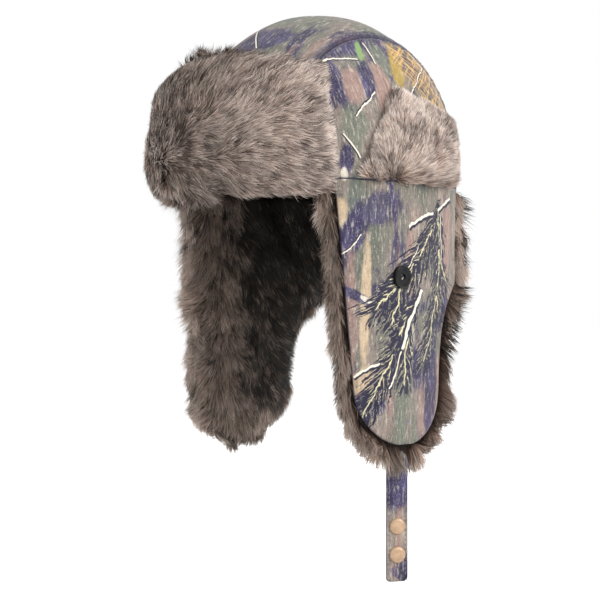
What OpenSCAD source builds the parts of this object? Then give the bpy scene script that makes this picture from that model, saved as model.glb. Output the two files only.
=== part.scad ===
/* [Crown] */
// Half the front-to-back length of the crown at its hem, outside
crown_half_length = 105; // [87:1:127]
// Half the side-to-side width of the crown at its hem, outside
crown_half_width = 88; // [73:1:106]
// Height of the crown above its hem
crown_height = 120; // [100:1:144]
// Roundness of the crown at the front, 2 is an ellipse
front_fullness = 1.9; // [1.8:0.1:2.4]
// Roundness of the crown at the back, higher is squarer
back_fullness = 2.3; // [2:0.1:3]
// Half the width of the strip that runs over the crown from front to back
top_panel_half_width = 52; // [43:1:62]

/* [Layers] */
// Thickness of the outer fabric
shell_t = 1.6; // [1:0.1:2.5]
// Thickness of the quilted lining
lining_t = 2.5; // [1.5:0.1:4]
// Thickness of the sweatband
sweatband_t = 1.2; // [0.8:0.1:2]
// Height of the sweatband
sweatband_h = 30; // [20:1:40]
// Height of the binding along the inside of the hem
binding_h = 8; // [6:1:12]
// Air between two layers that are sewn to each other
layer_gap = 0.3; // [0.2:0.05:0.5]

/* [Visor] */
// How far back from the front the two ends of the visor stand, measured from the middle of the hat
visor_end_y = 60; // [50:1:72]
// Height of the visor at its middle
visor_mid_h = 78; // [65:1:94]
// Height of the visor at its ends
visor_end_h = 72; // [60:1:87]
// How much taller than the crown the visor's own curve is, so that its top edge stands off
visor_rise = 12; // [8:1:20]
// Thickness of the visor's fur
visor_fur_t = 18; // [14:1:22]
// How far the visor's fur hangs below the hem
visor_fur_drop = 8; // [4:1:12]

/* [Side cuffs] */
// Front end of the cuff's lower edge, forward of the middle
cuff_front_y = 40; // [33:1:50]
// Back end of the cuff's lower edge, behind the middle
cuff_back_y = 46; // [38:1:56]
// How much the front edge leans back at the top
cuff_front_lean = 30; // [20:1:40]
// How much the back edge leans back at the top
cuff_back_lean = 6; // [3:1:12]
// Height of the cuff at its front edge
cuff_front_h = 58; // [48:1:70]
// Height of the cuff at its back edge
cuff_back_h = 44; // [36:1:54]
// Thickness of the cuff's fur
cuff_fur_t = 10.5; // [8:0.5:14]

/* [Flaps] */
// Length of an ear flap below the hem
flap_depth = 172; // [143:1:206]
// Front edge of the ear flap at the hem, forward of the middle
flap_front_y = 55; // [46:1:57]
// How far the front edge runs back by the bottom
flap_front_slant = 15; // [10:1:20]
// Back edge of the narrow lower part of the ear flap, behind the middle
flap_back_y = 33; // [26:1:40]
// Plane behind the middle where the ear flaps meet the neck flap
split_y = 72; // [66:1:78]
// Length of the neck flap below the hem
neck_depth = 63; // [52:1:76]
// Height of the rounded end of an ear flap
flap_round_h = 35; // [28:1:42]
// Thickness of the fur that lines the flaps
flap_fur_t = 12; // [9:1:15]
// How far the fur shows past the fabric's lower edge
fur_fringe = 3; // [1:0.5:4]
// Play between the fold lines and the pieces that stand inside them
fold_gap = 1.7; // [1:0.1:3]

/* [Chin strap] */
// Width of the strap
strap_w = 15; // [12.5:0.5:18]
// Thickness of the strap
strap_t = 2; // [1.6:0.1:2.6]
// Length of the free part of the strap
strap_free_l = 83; // [69:1:100]
// Length of the end that is sewn inside the flap
strap_sewn_l = 26; // [20:1:32]
// Place of the strap, forward of the middle
strap_y = 8; // [-4:0.5:10]
// Distance from the strap's tip to its last snap
strap_tip_to_snap = 17.5; // [14:0.5:22]
// Distance between the two snaps
strap_snap_pitch = 18.5; // [15:0.5:23]
// How far the hanging strap is turned to the front about its own length, in degrees
strap_turn = 25; // [0:1:35]

/* [Snaps] */
// Radius of the strap's snap caps
cap_r = 5.4; // [4.5:0.1:6.5]
// Height of a cap's dome
cap_h = 2; // [1.4:0.1:2.6]
// Radius of the sockets behind the caps
socket_r = 4.9; // [4.2:0.1:6]
// Height of a socket or a stud
socket_h = 2.4; // [2:0.1:3.2]
// Radius of the rivet that goes through the fabric
rivet_r = 1.6; // [1.2:0.1:2]
// Radius of the mouth of a socket, which takes a stud's head
socket_mouth_r = 2.1; // [1.9:0.1:2.4]
// Radius of the black mask snap
mask_snap_r = 7.5; // [6:0.1:9]
// Height of the black mask snap
mask_snap_h = 3; // [2.6:0.1:4]
// Distance of the mask snap below the hem
mask_snap_drop = 62; // [52:1:74]
// Distance of the strap's stud on the right flap above the flap's lower end
stud_rise = 26; // [20:1:34]

/* [Hidden] */

camo = "#8b8270";
fur = "#8a7668";
black = "#1c1c20";
tan_metal = "#d0bb9d";

// Each layer is given by how far its face stands outside the crown's own face
lining_out = -(shell_t + 3 * layer_gap);
lining_in = lining_out - lining_t;
sweatband_out = lining_in - 2 * layer_gap;
sweatband_in = sweatband_out - sweatband_t;
trim_out = layer_gap + shell_t;
fur_start = trim_out + layer_gap;
flap_fur_out = -(shell_t + layer_gap);

// Fold lines stand just outside the thickest piece above the hem
ear_fold_x = crown_half_width + fur_start + cuff_fur_t + fold_gap;
neck_fold_y = crown_half_length + fold_gap;

// Hem of the flaps, just under the hem of the crown
flap_top = layer_gap;
// Slope of the neck flap's end into the ear flap's narrow part
blend_l = 18;
// Rows stop this short of the flap's tip, which leaves a flat for the strap
tip_flat = 0.5;

wall_x = wall_at(strap_y, 0);
wall_in_x = wall_at(strap_y, -shell_t);
strap_x = wall_at(abs(strap_y) + strap_w / 2, -shell_t) - layer_gap - strap_t / 2;
strap_pivot_z = -(flap_depth + fur_fringe + strap_t / 2 + 3 * layer_gap);
tip_z = strap_pivot_z - strap_free_l;
snap_heights = [tip_z + strap_tip_to_snap, tip_z + strap_tip_to_snap + strap_snap_pitch];
rivet_hole_r = rivet_r + layer_gap;
flange_t = 0.8;
flange_r = 5;
stud_z = stud_rise - flap_depth;

$fn = 48;

function mix(a, b, f) = a + (b - a) * f;
function ease(f) = let (c = max(0, min(1, f))) c * c * (3 - 2 * c);

// The crown: an ellipse at the hem under a dome that is fuller at the back
function fullness(y) =
    mix(front_fullness, back_fullness, ease((y / crown_half_length + 1) / 2));
function dome_z(x, y, off) =
    let (k = fullness(y),
         r = sqrt(pow(x / (crown_half_width + off), 2) + pow(y / (crown_half_length + off), 2)))
    (crown_height + off) * pow(max(0, 1 - pow(r, k)), 1 / k);
function dome_x(y, z, off) =
    (crown_half_width + off)
        * sqrt(max(0, pow(lean(y, z, off), 2) - pow(y / (crown_half_length + off), 2)));
// How far in from the hem's ellipse the crown leans at a height, as a share of the ellipse
function lean(y, z, off) =
    let (k = fullness(y)) pow(1 - pow(z / (crown_height + off), k), 1 / k);
// The wall of the flaps: the hem's ellipse carried straight down
function wall_at(y, off) =
    (crown_half_width + off) * sqrt(1 - pow(y / (crown_half_length + off), 2));

// A sheet with thickness between two grids of points with the same rows and columns
module sheet(outer, inner) {
    rows = len(outer);
    cols = len(outer[0]);
    count = rows * cols;
    function at(i, j) = i * cols + j;
    function quad(a, b, c, d) = [[a, b, c], [a, c, d]];
    face = [for (i = [0 : rows - 2]) for (j = [0 : cols - 2])
        each quad(at(i, j), at(i, j + 1), at(i + 1, j + 1), at(i + 1, j))];
    back = [for (f = face) [f[2] + count, f[1] + count, f[0] + count]];
    ends = [for (j = [0 : cols - 2]) each concat(
        quad(at(0, j + 1), at(0, j), at(0, j) + count, at(0, j + 1) + count),
        quad(at(rows - 1, j), at(rows - 1, j + 1),
            at(rows - 1, j + 1) + count, at(rows - 1, j) + count))];
    sides = [for (i = [0 : rows - 2]) each concat(
        quad(at(i, 0), at(i + 1, 0), at(i + 1, 0) + count, at(i, 0) + count),
        quad(at(i + 1, cols - 1), at(i, cols - 1),
            at(i, cols - 1) + count, at(i + 1, cols - 1) + count))];
    polyhedron(
        points = concat([for (row = outer) each row], [for (row = inner) each row]),
        faces = concat(face, back, ends, sides),
        convexity = 6);
}

// A closed skin over rings of points, from one single point to another
module ring_skin(start, rings, finish) {
    n = len(rings[0]);
    last = len(rings) * n + 1;
    function at(i, j) = 1 + i * n + j % n;
    polyhedron(
        points = concat([start], [for (r = rings) each r], [finish]),
        faces = concat(
            [for (j = [0 : n - 1]) [0, at(0, j + 1), at(0, j)]],
            [for (i = [0 : len(rings) - 2]) for (j = [0 : n - 1])
                each [[at(i, j), at(i, j + 1), at(i + 1, j + 1)],
                      [at(i, j), at(i + 1, j + 1), at(i + 1, j)]]],
            [for (j = [0 : n - 1])
                [last, at(len(rings) - 1, j), at(len(rings) - 1, j + 1)]]),
        convexity = 6);
}

// A band that follows the inside of the crown between two layers and two heights
module hem_ring(out, in, low, high, levels = 3, steps = 56) {
    function ring(off, z) = [for (s = [0 : steps - 1])
        let (t = 360 * s / steps, r = lean(-crown_half_length * cos(t), z, off))
        [r * (crown_half_width + off) * sin(t), -r * (crown_half_length + off) * cos(t), z]];
    rings = concat([for (i = [0 : levels]) ring(out, mix(low, high, i / levels))],
                   [for (i = [levels : -1 : 0]) ring(in, mix(low, high, i / levels))]);
    function at(i, j) = (i % len(rings)) * steps + j % steps;
    polyhedron(
        points = [for (r = rings) each r],
        faces = [for (i = [0 : len(rings) - 1]) for (j = [0 : steps - 1])
            each [[at(i, j), at(i + 1, j), at(i + 1, j + 1)],
                  [at(i, j), at(i + 1, j + 1), at(i, j + 1)]]],
        convexity = 6);
}

module left_and_right(side) {
    if (side < 0) mirror([1, 0, 0]) children();
    else children();
}

// Turns a shape drawn along +Z so that it points out of the left flap, with its foot at x
module facing_out(x, y, z) {
    translate([x, y, z]) rotate([0, 90, 0]) children();
}

// ---- Crown

function top_panel_grid(off, cols = 12, rows = 26) =
    [for (i = [0 : cols]) [for (j = [0 : rows])
        let (x = mix(-top_panel_half_width, top_panel_half_width, i / cols),
             reach = (crown_half_length + off) * sqrt(1 - pow(x / (crown_half_width + off), 2)),
             y = -reach * cos(180 * j / rows))
        [x, y, dome_z(x, y, off)]]];

module crown_top_panel() {
    color(camo) sheet(top_panel_grid(0), top_panel_grid(-shell_t));
}

// Spacing of the points on a side panel, along the hem and from the hem to the seam
side_col_step = 4.4;
side_row_step = 3.6;

// The side panel is cut along an upright plane just outside the top panel's edge
function side_panel_grid(off) =
    let (cols = round(crown_half_length / side_col_step),
         rows = round((crown_half_width - top_panel_half_width) / side_row_step),
         edge_x = top_panel_half_width + layer_gap,
         start = asin(edge_x / (crown_half_width - shell_t)) + 0.5)
    [for (i = [0 : cols]) [for (j = [0 : rows])
        let (t = mix(start, 180 - start, i / cols),
             r_seam = edge_x / ((crown_half_width + off) * sin(t)),
             r = 1 - (1 - r_seam) * pow(j / rows, 2),
             x = r * (crown_half_width + off) * sin(t),
             y = -r * (crown_half_length + off) * cos(t))
        [x, y, dome_z(x, y, off)]]];

module crown_side_panel(side) {
    color(camo) left_and_right(side) sheet(side_panel_grid(-shell_t), side_panel_grid(0));
}

// The lining is a whole dome that starts above the hem's binding
module crown_lining(steps = 40, levels = 11) {
    low = binding_h + 2 * layer_gap;
    function ring(off, f) = [for (s = [0 : steps - 1])
        let (t = 360 * s / steps,
             r = lean(-crown_half_length * cos(t), low, off) * cos(90 * f),
             x = r * (crown_half_width + off) * sin(t),
             y = -r * (crown_half_length + off) * cos(t))
        [x, y, f == 0 ? low : dome_z(x, y, off)]];
    color(black) ring_skin(
        [0, 0, dome_z(0, 0, lining_out)],
        concat([for (i = [levels - 1 : -1 : 0]) ring(lining_out, i / levels)],
               [for (i = [0 : levels - 1]) ring(lining_in, i / levels)]),
        [0, 0, dome_z(0, 0, lining_in)]);
}

module sweatband() {
    color(black) hem_ring(sweatband_out, sweatband_in, layer_gap, sweatband_h);
}

module hem_binding() {
    color(black) hem_ring(lining_out, lining_in, layer_gap, binding_h, 1);
}

// A blank woven label on the inside of the sweatband at the back
module size_label() {
    label_w = 28;
    label_h = 18;
    label_t = 0.6;
    label_z = 6;
    back_y = (crown_half_length + sweatband_in)
        * lean(crown_half_length, label_z + label_h, sweatband_in);
    sag = back_y * (1 - sqrt(1 - pow(label_w / 2 / (crown_half_width + sweatband_in), 2)));
    color("#e6e2d8")
        translate([-label_w / 2, back_y - sag - layer_gap - label_t, label_z])
            cube([label_w, label_t, label_h]);
}

// ---- Visor

// The visor's own face leans in less than the crown's, so it uses a taller dome
visor_base_h = crown_height + visor_rise;
visor_k = 2.6;

function visor_grid(off, bulge, low, extra_h, cols = 24, rows = 9) =
    [for (i = [0 : cols]) [for (j = [0 : rows])
        let (w = mix(-1, 1, i / cols),
             v = j / rows,
             top = mix(visor_end_h, visor_mid_h, cos(90 * w)) + extra_h,
             z = mix(low, top, v),
             r = sqrt(1 - pow(max(0, z) / visor_base_h, visor_k)),
             puff = bulge * (1 - 0.55 * pow(abs(2 * v - 1), 3)) * (1 - 0.5 * pow(abs(w), 6)),
             a = crown_half_length * r + off + puff,
             b = crown_half_width * r + off + puff,
             t = w * acos(min(0.99, visor_end_y / a)))
        [b * sin(t), -a * cos(t), z]]];

module visor_shell() {
    color(camo) sheet(
        visor_grid(layer_gap, 0, 2 * layer_gap, 0),
        visor_grid(layer_gap + shell_t, 0, 2 * layer_gap, 0));
}

module visor_fur() {
    color(fur) sheet(
        visor_grid(fur_start, 0, -visor_fur_drop, 5),
        visor_grid(fur_start, visor_fur_t, -visor_fur_drop, 5));
}

// Thread tacks that hold the visor's top edge up against the crown
module visor_tacks() {
    tack_r = 0.8;
    tack_x = 30;
    tack_z = visor_end_h - 3;
    r_visor = sqrt(1 - pow(tack_z / visor_base_h, visor_k));
    r_crown = pow(1 - pow(tack_z / crown_height, front_fullness), 1 / front_fullness);
    front = function (half_w, half_l) half_l * sqrt(1 - pow(tack_x / half_w, 2));
    y_visor = front(crown_half_width * r_visor, crown_half_length * r_visor);
    y_crown = front(crown_half_width * r_crown, crown_half_length * r_crown);
    color(black) for (s = [-1, 1])
        translate([s * tack_x, -y_visor + layer_gap, tack_z])
            rotate([-90, 0, 0]) cylinder(r = tack_r, h = y_visor - y_crown - 4 * layer_gap, $fn = 16);
}

// ---- Side cuffs

function cuff_grid(off, bulge, cols = 12, rows = 7) =
    [for (i = [0 : cols]) [for (j = [0 : rows])
        let (w = i / cols,
             v = j / rows,
             y = mix(mix(-cuff_front_y, cuff_back_y, w),
                     mix(cuff_front_lean - cuff_front_y, cuff_back_y + cuff_back_lean, w), v),
             z = mix(2 * layer_gap, mix(cuff_front_h, cuff_back_h, w), v),
             puff = bulge * (1 - 0.5 * pow(abs(2 * w - 1), 4)) * (1 - 0.6 * pow(v, 4)))
        [dome_x(y, z, off) + puff, y, z]]];

module cuff_backing(side) {
    color(black) left_and_right(side)
        sheet(cuff_grid(layer_gap, 0), cuff_grid(trim_out, 0));
}

module cuff_fur(side) {
    color(fur) left_and_right(side)
        sheet(cuff_grid(fur_start, 0), cuff_grid(fur_start, cuff_fur_t));
}

// ---- Ear flaps

// Front and back edges of the flap at a depth below the hem, with its end rounded off
function flap_edges(depth, length, fringe) =
    let (front = flap_front_slant * depth / length - flap_front_y - fringe,
         wide = split_y - layer_gap,
         back = depth < neck_depth ? wide
             : flap_back_y + fringe
                 + (wide - flap_back_y - fringe) * exp(-(depth - neck_depth) / blend_l),
         f = max(0, depth - length + flap_round_h) / flap_round_h,
         keep = sqrt(1 - f * f),
         middle = (flap_front_slant - flap_front_y + flap_back_y) / 2)
    [mix(middle, front, keep), mix(middle, back, keep)];

function flap_grid(off, bulge, fringe, cols = 14, rows = 16) =
    let (length = flap_depth + fringe)
    [for (i = [0 : rows]) [for (j = [0 : cols])
        let (v = i / rows,
             depth = mix(flap_top, length - tip_flat, 1 - pow(1 - v, 1.4)),
             e = flap_edges(depth, length, fringe),
             w = j / cols,
             y = mix(e[0], e[1], w),
             puff = bulge * (1 - 0.4 * pow(abs(2 * w - 1), 4)) * (1 - 0.4 * pow(v, 6)))
        [wall_at(y, off - puff), y, -depth]]];

// The hole for a rivet through a flap at a height, and the room behind it for its flange
module rivet_hole(z) {
    facing_out(wall_in_x - flange_t - 3 * layer_gap, -strap_y, z) {
        cylinder(r = rivet_hole_r, h = shell_t + 4);
        cylinder(r = flange_r + layer_gap, h = flange_t + 2 * layer_gap);
    }
}

module strap_pocket() {
    room = strap_t + 2 * layer_gap;
    translate([strap_x - room / 2, -strap_y - strap_w / 2 - layer_gap, strap_pivot_z - 1])
        cube([room + 2, strap_w + 2 * layer_gap, strap_sewn_l + 2 * layer_gap + 1]);
}

module ear_flap_shell(side) {
    color(camo) left_and_right(side) difference() {
        sheet(flap_grid(-shell_t, 0, 0), flap_grid(0, 0, 0));
        rivet_hole(-mask_snap_drop);
        if (side < 0) rivet_hole(stud_z);
    }
}

module ear_flap_fur(side) {
    color(fur) left_and_right(side) difference() {
        sheet(flap_grid(flap_fur_out, flap_fur_t, fur_fringe), flap_grid(flap_fur_out, 0, fur_fringe));
        rivet_hole(-mask_snap_drop);
        if (side < 0) rivet_hole(stud_z);
        else strap_pocket();
    }
}

// ---- Neck flap

function neck_grid(off, bulge, fringe, cols = 24, rows = 6) =
    [for (i = [0 : rows]) [for (j = [0 : cols])
        let (v = i / rows,
             w = j / cols,
             depth = mix(flap_top, neck_depth + fringe, v),
             puff = bulge * (1 - 0.4 * pow(v, 6)),
             a = crown_half_length + off - puff,
             b = crown_half_width + off - puff,
             start = acos(-(split_y + layer_gap) / a),
             t = mix(start, 360 - start, w))
        [b * sin(t), -a * cos(t), -depth]]];

module neck_flap_shell() {
    color(camo) sheet(neck_grid(-shell_t, 0, 0), neck_grid(0, 0, 0));
}

module neck_flap_fur() {
    color(fur) sheet(
        neck_grid(flap_fur_out, flap_fur_t, fur_fringe),
        neck_grid(flap_fur_out, 0, fur_fringe));
}

// ---- Snaps

// A black ring with a sunk face and a mouth for a mask's stud
module mask_snap(side) {
    face_h = mask_snap_h - 0.9;
    color(black) left_and_right(side) facing_out(wall_x + layer_gap, -strap_y, -mask_snap_drop)
        difference() {
            rotate_extrude() polygon([[0, 0], [mask_snap_r, 0], [mask_snap_r, mask_snap_h - 0.8],
                [mask_snap_r - 0.8, mask_snap_h], [mask_snap_r - 2.2, mask_snap_h],
                [mask_snap_r - 2.8, face_h], [0, face_h]]);
            translate([0, 0, -1]) cylinder(r = socket_mouth_r, h = mask_snap_h + 2);
        }
}

// The rivet from inside: a flange behind the fabric and a post through it
module rivet(post_l) {
    cylinder(r = flange_r, h = flange_t);
    cylinder(r = rivet_r, h = flange_t + post_l);
}

module mask_snap_rivet(side) {
    color(black) left_and_right(side)
        facing_out(wall_in_x - flange_t - 2 * layer_gap, -strap_y, -mask_snap_drop)
            rivet(shell_t + 3 * layer_gap);
}

module strap_stud() {
    stud_r = socket_mouth_r - 0.1;
    neck_r = stud_r - 0.35;
    color(tan_metal) left_and_right(-1) facing_out(wall_x + layer_gap, -strap_y, stud_z)
        rotate_extrude() polygon([[0, 0], [cap_r - 0.6, 0], [cap_r - 0.6, 0.5],
            [cap_r - 1.2, 0.9], [neck_r, 0.9], [neck_r, socket_h - 1],
            [stud_r, socket_h - 0.6], [stud_r - 0.4, socket_h], [0, socket_h]]);
}

module strap_stud_rivet() {
    color(tan_metal) left_and_right(-1)
        facing_out(wall_in_x - flange_t - 2 * layer_gap, -strap_y, stud_z)
            rivet(shell_t + layer_gap);
}

// ---- Chin strap

module strap_tongue() {
    color(camo)
        translate([strap_x - strap_t / 2, -strap_y - strap_w / 2, strap_pivot_z + strap_t / 2 + layer_gap])
            cube([strap_t, strap_w, strap_sewn_l - strap_t / 2 - layer_gap]);
}

module strap_bar_tack() {
    tack_w = strap_w - 2;
    tack_h = 1.4;
    color(black)
        translate([wall_x + layer_gap, -strap_y - tack_w / 2, strap_pivot_z + strap_sewn_l - 6])
            cube([0.7, tack_w, tack_h]);
}

// The hanging strap is drawn in a frame of its own: x through its thickness, y across it
module strap_frame() {
    translate([strap_x, -strap_y, 0]) rotate([0, 0, -strap_turn]) children();
}

// The strap's outline, with its lower corners cut
module strap_outline() {
    corner = 3;
    polygon([[-strap_w / 2, 0], [strap_w / 2, 0],
        [strap_w / 2, corner - strap_free_l], [strap_w / 2 - corner, -strap_free_l],
        [corner - strap_w / 2, -strap_free_l], [-strap_w / 2, corner - strap_free_l]]);
}

module chin_strap() {
    color(camo) strap_frame() difference() {
        union() {
            translate([-strap_t / 2, 0, strap_pivot_z])
                rotate([90, 0, 90]) linear_extrude(strap_t) strap_outline();
            translate([0, -strap_w / 2, strap_pivot_z])
                rotate([-90, 0, 0]) cylinder(d = strap_t, h = strap_w);
        }
        for (z = snap_heights)
            facing_out(-strap_t, 0, z) cylinder(r = rivet_hole_r, h = 2 * strap_t);
    }
}

module strap_snap_caps() {
    post_l = strap_t + layer_gap;
    color(tan_metal) strap_frame() for (z = snap_heights)
        facing_out(strap_t / 2 + layer_gap / 2, 0, z) {
            rotate_extrude() polygon([[0, 0], [cap_r, 0], [cap_r, 0.4],
                [0.9 * cap_r, 0.62 * cap_h], [0.66 * cap_r, 0.85 * cap_h],
                [0.33 * cap_r, 0.96 * cap_h], [0, cap_h]]);
            translate([0, 0, -post_l]) cylinder(r = rivet_r, h = post_l + 0.1);
        }
}

module strap_snap_sockets() {
    color(tan_metal) strap_frame() for (z = snap_heights)
        facing_out(-strap_t / 2 - layer_gap / 2 - socket_h, 0, z)
            rotate_extrude() polygon([[socket_mouth_r, 0], [socket_r - 0.6, 0], [socket_r, 0.6],
                [socket_r, socket_h], [socket_mouth_r, socket_h]]);
}

crown_top_panel();
crown_side_panel(1);  // crown_side_panel_left
crown_side_panel(-1);  // crown_side_panel_right
crown_lining();
sweatband();
size_label();
hem_binding();
visor_shell();
visor_fur();
visor_tacks();
cuff_backing(1);  // cuff_backing_left
cuff_backing(-1);  // cuff_backing_right
cuff_fur(1);  // cuff_fur_left
cuff_fur(-1);  // cuff_fur_right
ear_flap_shell(1);  // ear_flap_shell_left
ear_flap_shell(-1);  // ear_flap_shell_right
ear_flap_fur(1);  // ear_flap_fur_left
ear_flap_fur(-1);  // ear_flap_fur_right
neck_flap_shell();
neck_flap_fur();
mask_snap(1);  // mask_snap_left
mask_snap(-1);  // mask_snap_right
mask_snap_rivet(1);  // mask_snap_rivet_left
mask_snap_rivet(-1);  // mask_snap_rivet_right
strap_tongue();
strap_bar_tack();
chin_strap();
strap_snap_caps();
strap_snap_sockets();
strap_stud();
strap_stud_rivet();
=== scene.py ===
import math
import bmesh
import bpy
import numpy as np
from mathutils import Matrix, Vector


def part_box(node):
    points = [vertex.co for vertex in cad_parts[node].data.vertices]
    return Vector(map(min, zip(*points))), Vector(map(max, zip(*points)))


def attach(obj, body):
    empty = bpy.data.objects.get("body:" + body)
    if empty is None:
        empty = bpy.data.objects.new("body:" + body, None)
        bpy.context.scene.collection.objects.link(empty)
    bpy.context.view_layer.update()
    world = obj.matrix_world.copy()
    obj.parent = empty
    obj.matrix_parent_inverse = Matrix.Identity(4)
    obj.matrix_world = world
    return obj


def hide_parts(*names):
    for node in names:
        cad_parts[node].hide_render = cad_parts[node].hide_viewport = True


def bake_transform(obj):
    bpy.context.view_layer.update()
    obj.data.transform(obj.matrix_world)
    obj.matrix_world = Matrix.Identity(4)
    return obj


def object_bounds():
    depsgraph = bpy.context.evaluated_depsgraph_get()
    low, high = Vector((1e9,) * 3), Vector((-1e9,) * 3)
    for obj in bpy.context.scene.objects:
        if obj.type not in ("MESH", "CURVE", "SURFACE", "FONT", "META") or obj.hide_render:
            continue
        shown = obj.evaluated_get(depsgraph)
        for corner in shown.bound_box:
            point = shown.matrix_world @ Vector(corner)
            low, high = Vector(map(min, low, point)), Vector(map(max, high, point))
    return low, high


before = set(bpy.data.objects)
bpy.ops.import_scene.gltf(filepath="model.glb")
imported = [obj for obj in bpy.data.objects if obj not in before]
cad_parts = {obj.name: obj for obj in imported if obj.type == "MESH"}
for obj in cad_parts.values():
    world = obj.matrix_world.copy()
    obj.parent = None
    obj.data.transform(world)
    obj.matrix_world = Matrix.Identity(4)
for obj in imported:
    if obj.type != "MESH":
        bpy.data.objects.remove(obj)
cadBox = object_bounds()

scene = bpy.context.scene
scene.view_settings.view_transform = "Standard"
mm = 0.001

# Camera: level, round to the wearer's left of the front, aimed below the hem
shot = {"azimuth": 48, "distance": 1.0, "lens": 86, "aimAside": -0.0126, "aimHeight": -0.077}
turn = math.radians(shot["azimuth"])
camRight = Vector((math.cos(turn), math.sin(turn), 0))
camBack = Vector((math.sin(turn), -math.cos(turn), 0))
camData = bpy.data.cameras.new("camera")
camData.lens = shot["lens"]
camData.sensor_width = 36
camera = bpy.data.objects.new("camera", camData)
scene.collection.objects.link(camera)
aim = camRight * shot["aimAside"] + Vector((0, 0, shot["aimHeight"]))
camera.location = aim + camBack * shot["distance"]
camera.rotation_euler = camBack.to_track_quat("Z", "Y").to_euler()
scene.camera = camera

# Sizes read from the frame, in metres
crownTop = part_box("crown_top_panel")[1]
halfLength = crownTop.y
crownHeight = crownTop.z
topHalfWidth = crownTop.x
sideLow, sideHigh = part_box("crown_side_panel_left")
halfWidth = sideHigh.x
flapLow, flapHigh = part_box("ear_flap_shell_left")
flapDepth = -flapLow.z
flapFrontY = -flapLow.y
splitY = flapHigh.y
neckDepth = -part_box("neck_flap_shell")[0].z
strapLow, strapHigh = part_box("chin_strap")
bandLow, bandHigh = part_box("sweatband")
bindingLow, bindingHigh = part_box("hem_binding")
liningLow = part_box("crown_lining")[0]

# Thicknesses and gaps of the layers, as the hat is sewn
layers = {"cloth": 1.6 * mm, "gap": 0.3 * mm, "lining": -2.5 * mm, "sweatband": -5.6 * mm, "tape": 1.2 * mm,
          "fur": 2.2 * mm, "flapFur": -1.9 * mm}


def mix(a, b, f):
    return a + (b - a) * f


def ease(f):
    f = np.clip(f, 0, 1)
    return f * f * (3 - 2 * f)


def unit(v):
    return v / np.maximum(np.linalg.norm(v, axis=-1, keepdims=True), 1e-9)


# Smooth random lumps about -1 to 1, the same on each run: plane waves in seeded directions
def lumps(points, size, seed, waves=14):
    gen = np.random.default_rng(seed)
    total = np.zeros(points.shape[:-1])
    for _ in range(waves):
        direction = unit(gen.normal(size=3))
        rate = 2 * math.pi / size * gen.uniform(0.6, 1.6)
        total += np.sin(points @ direction * rate + gen.uniform(0, 2 * math.pi))
    return total / math.sqrt(waves)


# The dome: an oval whose side view is fuller at the back than at the front
dome = {"frontFullness": 1.9, "backFullness": 2.3}


def fullness(y):
    return mix(dome["frontFullness"], dome["backFullness"], ease((y / halfLength + 1) / 2))


def domeZ(x, y, off=0.0):
    k = fullness(y)
    r = np.sqrt((x / (halfWidth + off)) ** 2 + (y / (halfLength + off)) ** 2)
    return (crownHeight + off) * np.clip(1 - r ** k, 0, 1) ** (1 / k)


def lean(y, z, off=0.0):
    k = fullness(y)
    return np.clip(1 - (np.clip(z, 0, None) / (crownHeight + off)) ** k, 0, 1) ** (1 / k)


def domeX(y, z, off=0.0):
    return (halfWidth + off) * np.sqrt(np.clip(lean(y, z, off) ** 2 - (y / (halfLength + off)) ** 2, 0, 1))


def wallX(y, off=0.0):
    return (halfWidth + off) * np.sqrt(np.clip(1 - (y / (halfLength + off)) ** 2, 0, 1))


def grid(rows, cols):
    return np.meshgrid(np.linspace(0, 1, rows), np.linspace(0, 1, cols), indexing="ij")


# Normals of a grid of points, on the side that points towards the given direction
def gridNormals(points, towards):
    n = unit(np.cross(np.gradient(points, axis=1), np.gradient(points, axis=0)))
    return n * (np.sign((n * towards).sum(-1).mean()) or 1)


# How far each point of a grid lies along its rows or columns
def runLength(points, axis):
    step = np.linalg.norm(np.diff(points, axis=axis), axis=-1)
    start = np.zeros_like(np.take(step, [0], axis=axis))
    return np.concatenate([start, np.cumsum(step, axis=axis)], axis=axis)


def newMesh(name, verts, faces):
    mesh = bpy.data.meshes.new(name)
    mesh.from_pydata([tuple(v) for v in verts], [], faces)
    mesh.validate()
    mesh.shade_smooth()
    obj = bpy.data.objects.new(name, mesh)
    scene.collection.objects.link(obj)
    return obj


# Many small separate shapes at once, for hairs and stitches
def bulkMesh(name, verts, quads, tris):
    mesh = bpy.data.meshes.new(name)
    corners = np.concatenate([quads.ravel(), tris.ravel()]).astype(np.int32)
    sizes = np.concatenate([np.full(len(quads), 4), np.full(len(tris), 3)]).astype(np.int32)
    mesh.vertices.add(len(verts))
    mesh.vertices.foreach_set("co", verts.astype(np.float32).ravel())
    mesh.loops.add(len(corners))
    mesh.loops.foreach_set("vertex_index", corners)
    mesh.polygons.add(len(sizes))
    mesh.polygons.foreach_set("loop_start", (np.cumsum(sizes) - sizes).astype(np.int32))
    mesh.update(calc_edges=True)
    mesh.shade_smooth()
    obj = bpy.data.objects.new(name, mesh)
    scene.collection.objects.link(obj)
    return obj


def setMap(obj, name, uvPerVertex):
    layer = obj.data.uv_layers.new(name=name)
    corners = np.zeros(len(obj.data.loops), np.int32)
    obj.data.loops.foreach_get("vertex_index", corners)
    layer.data.foreach_set("uv", np.asarray(uvPerVertex, np.float32)[corners].ravel())


def paint(obj, material):
    obj.data.materials.clear()
    obj.data.materials.append(material)
    return obj


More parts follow.
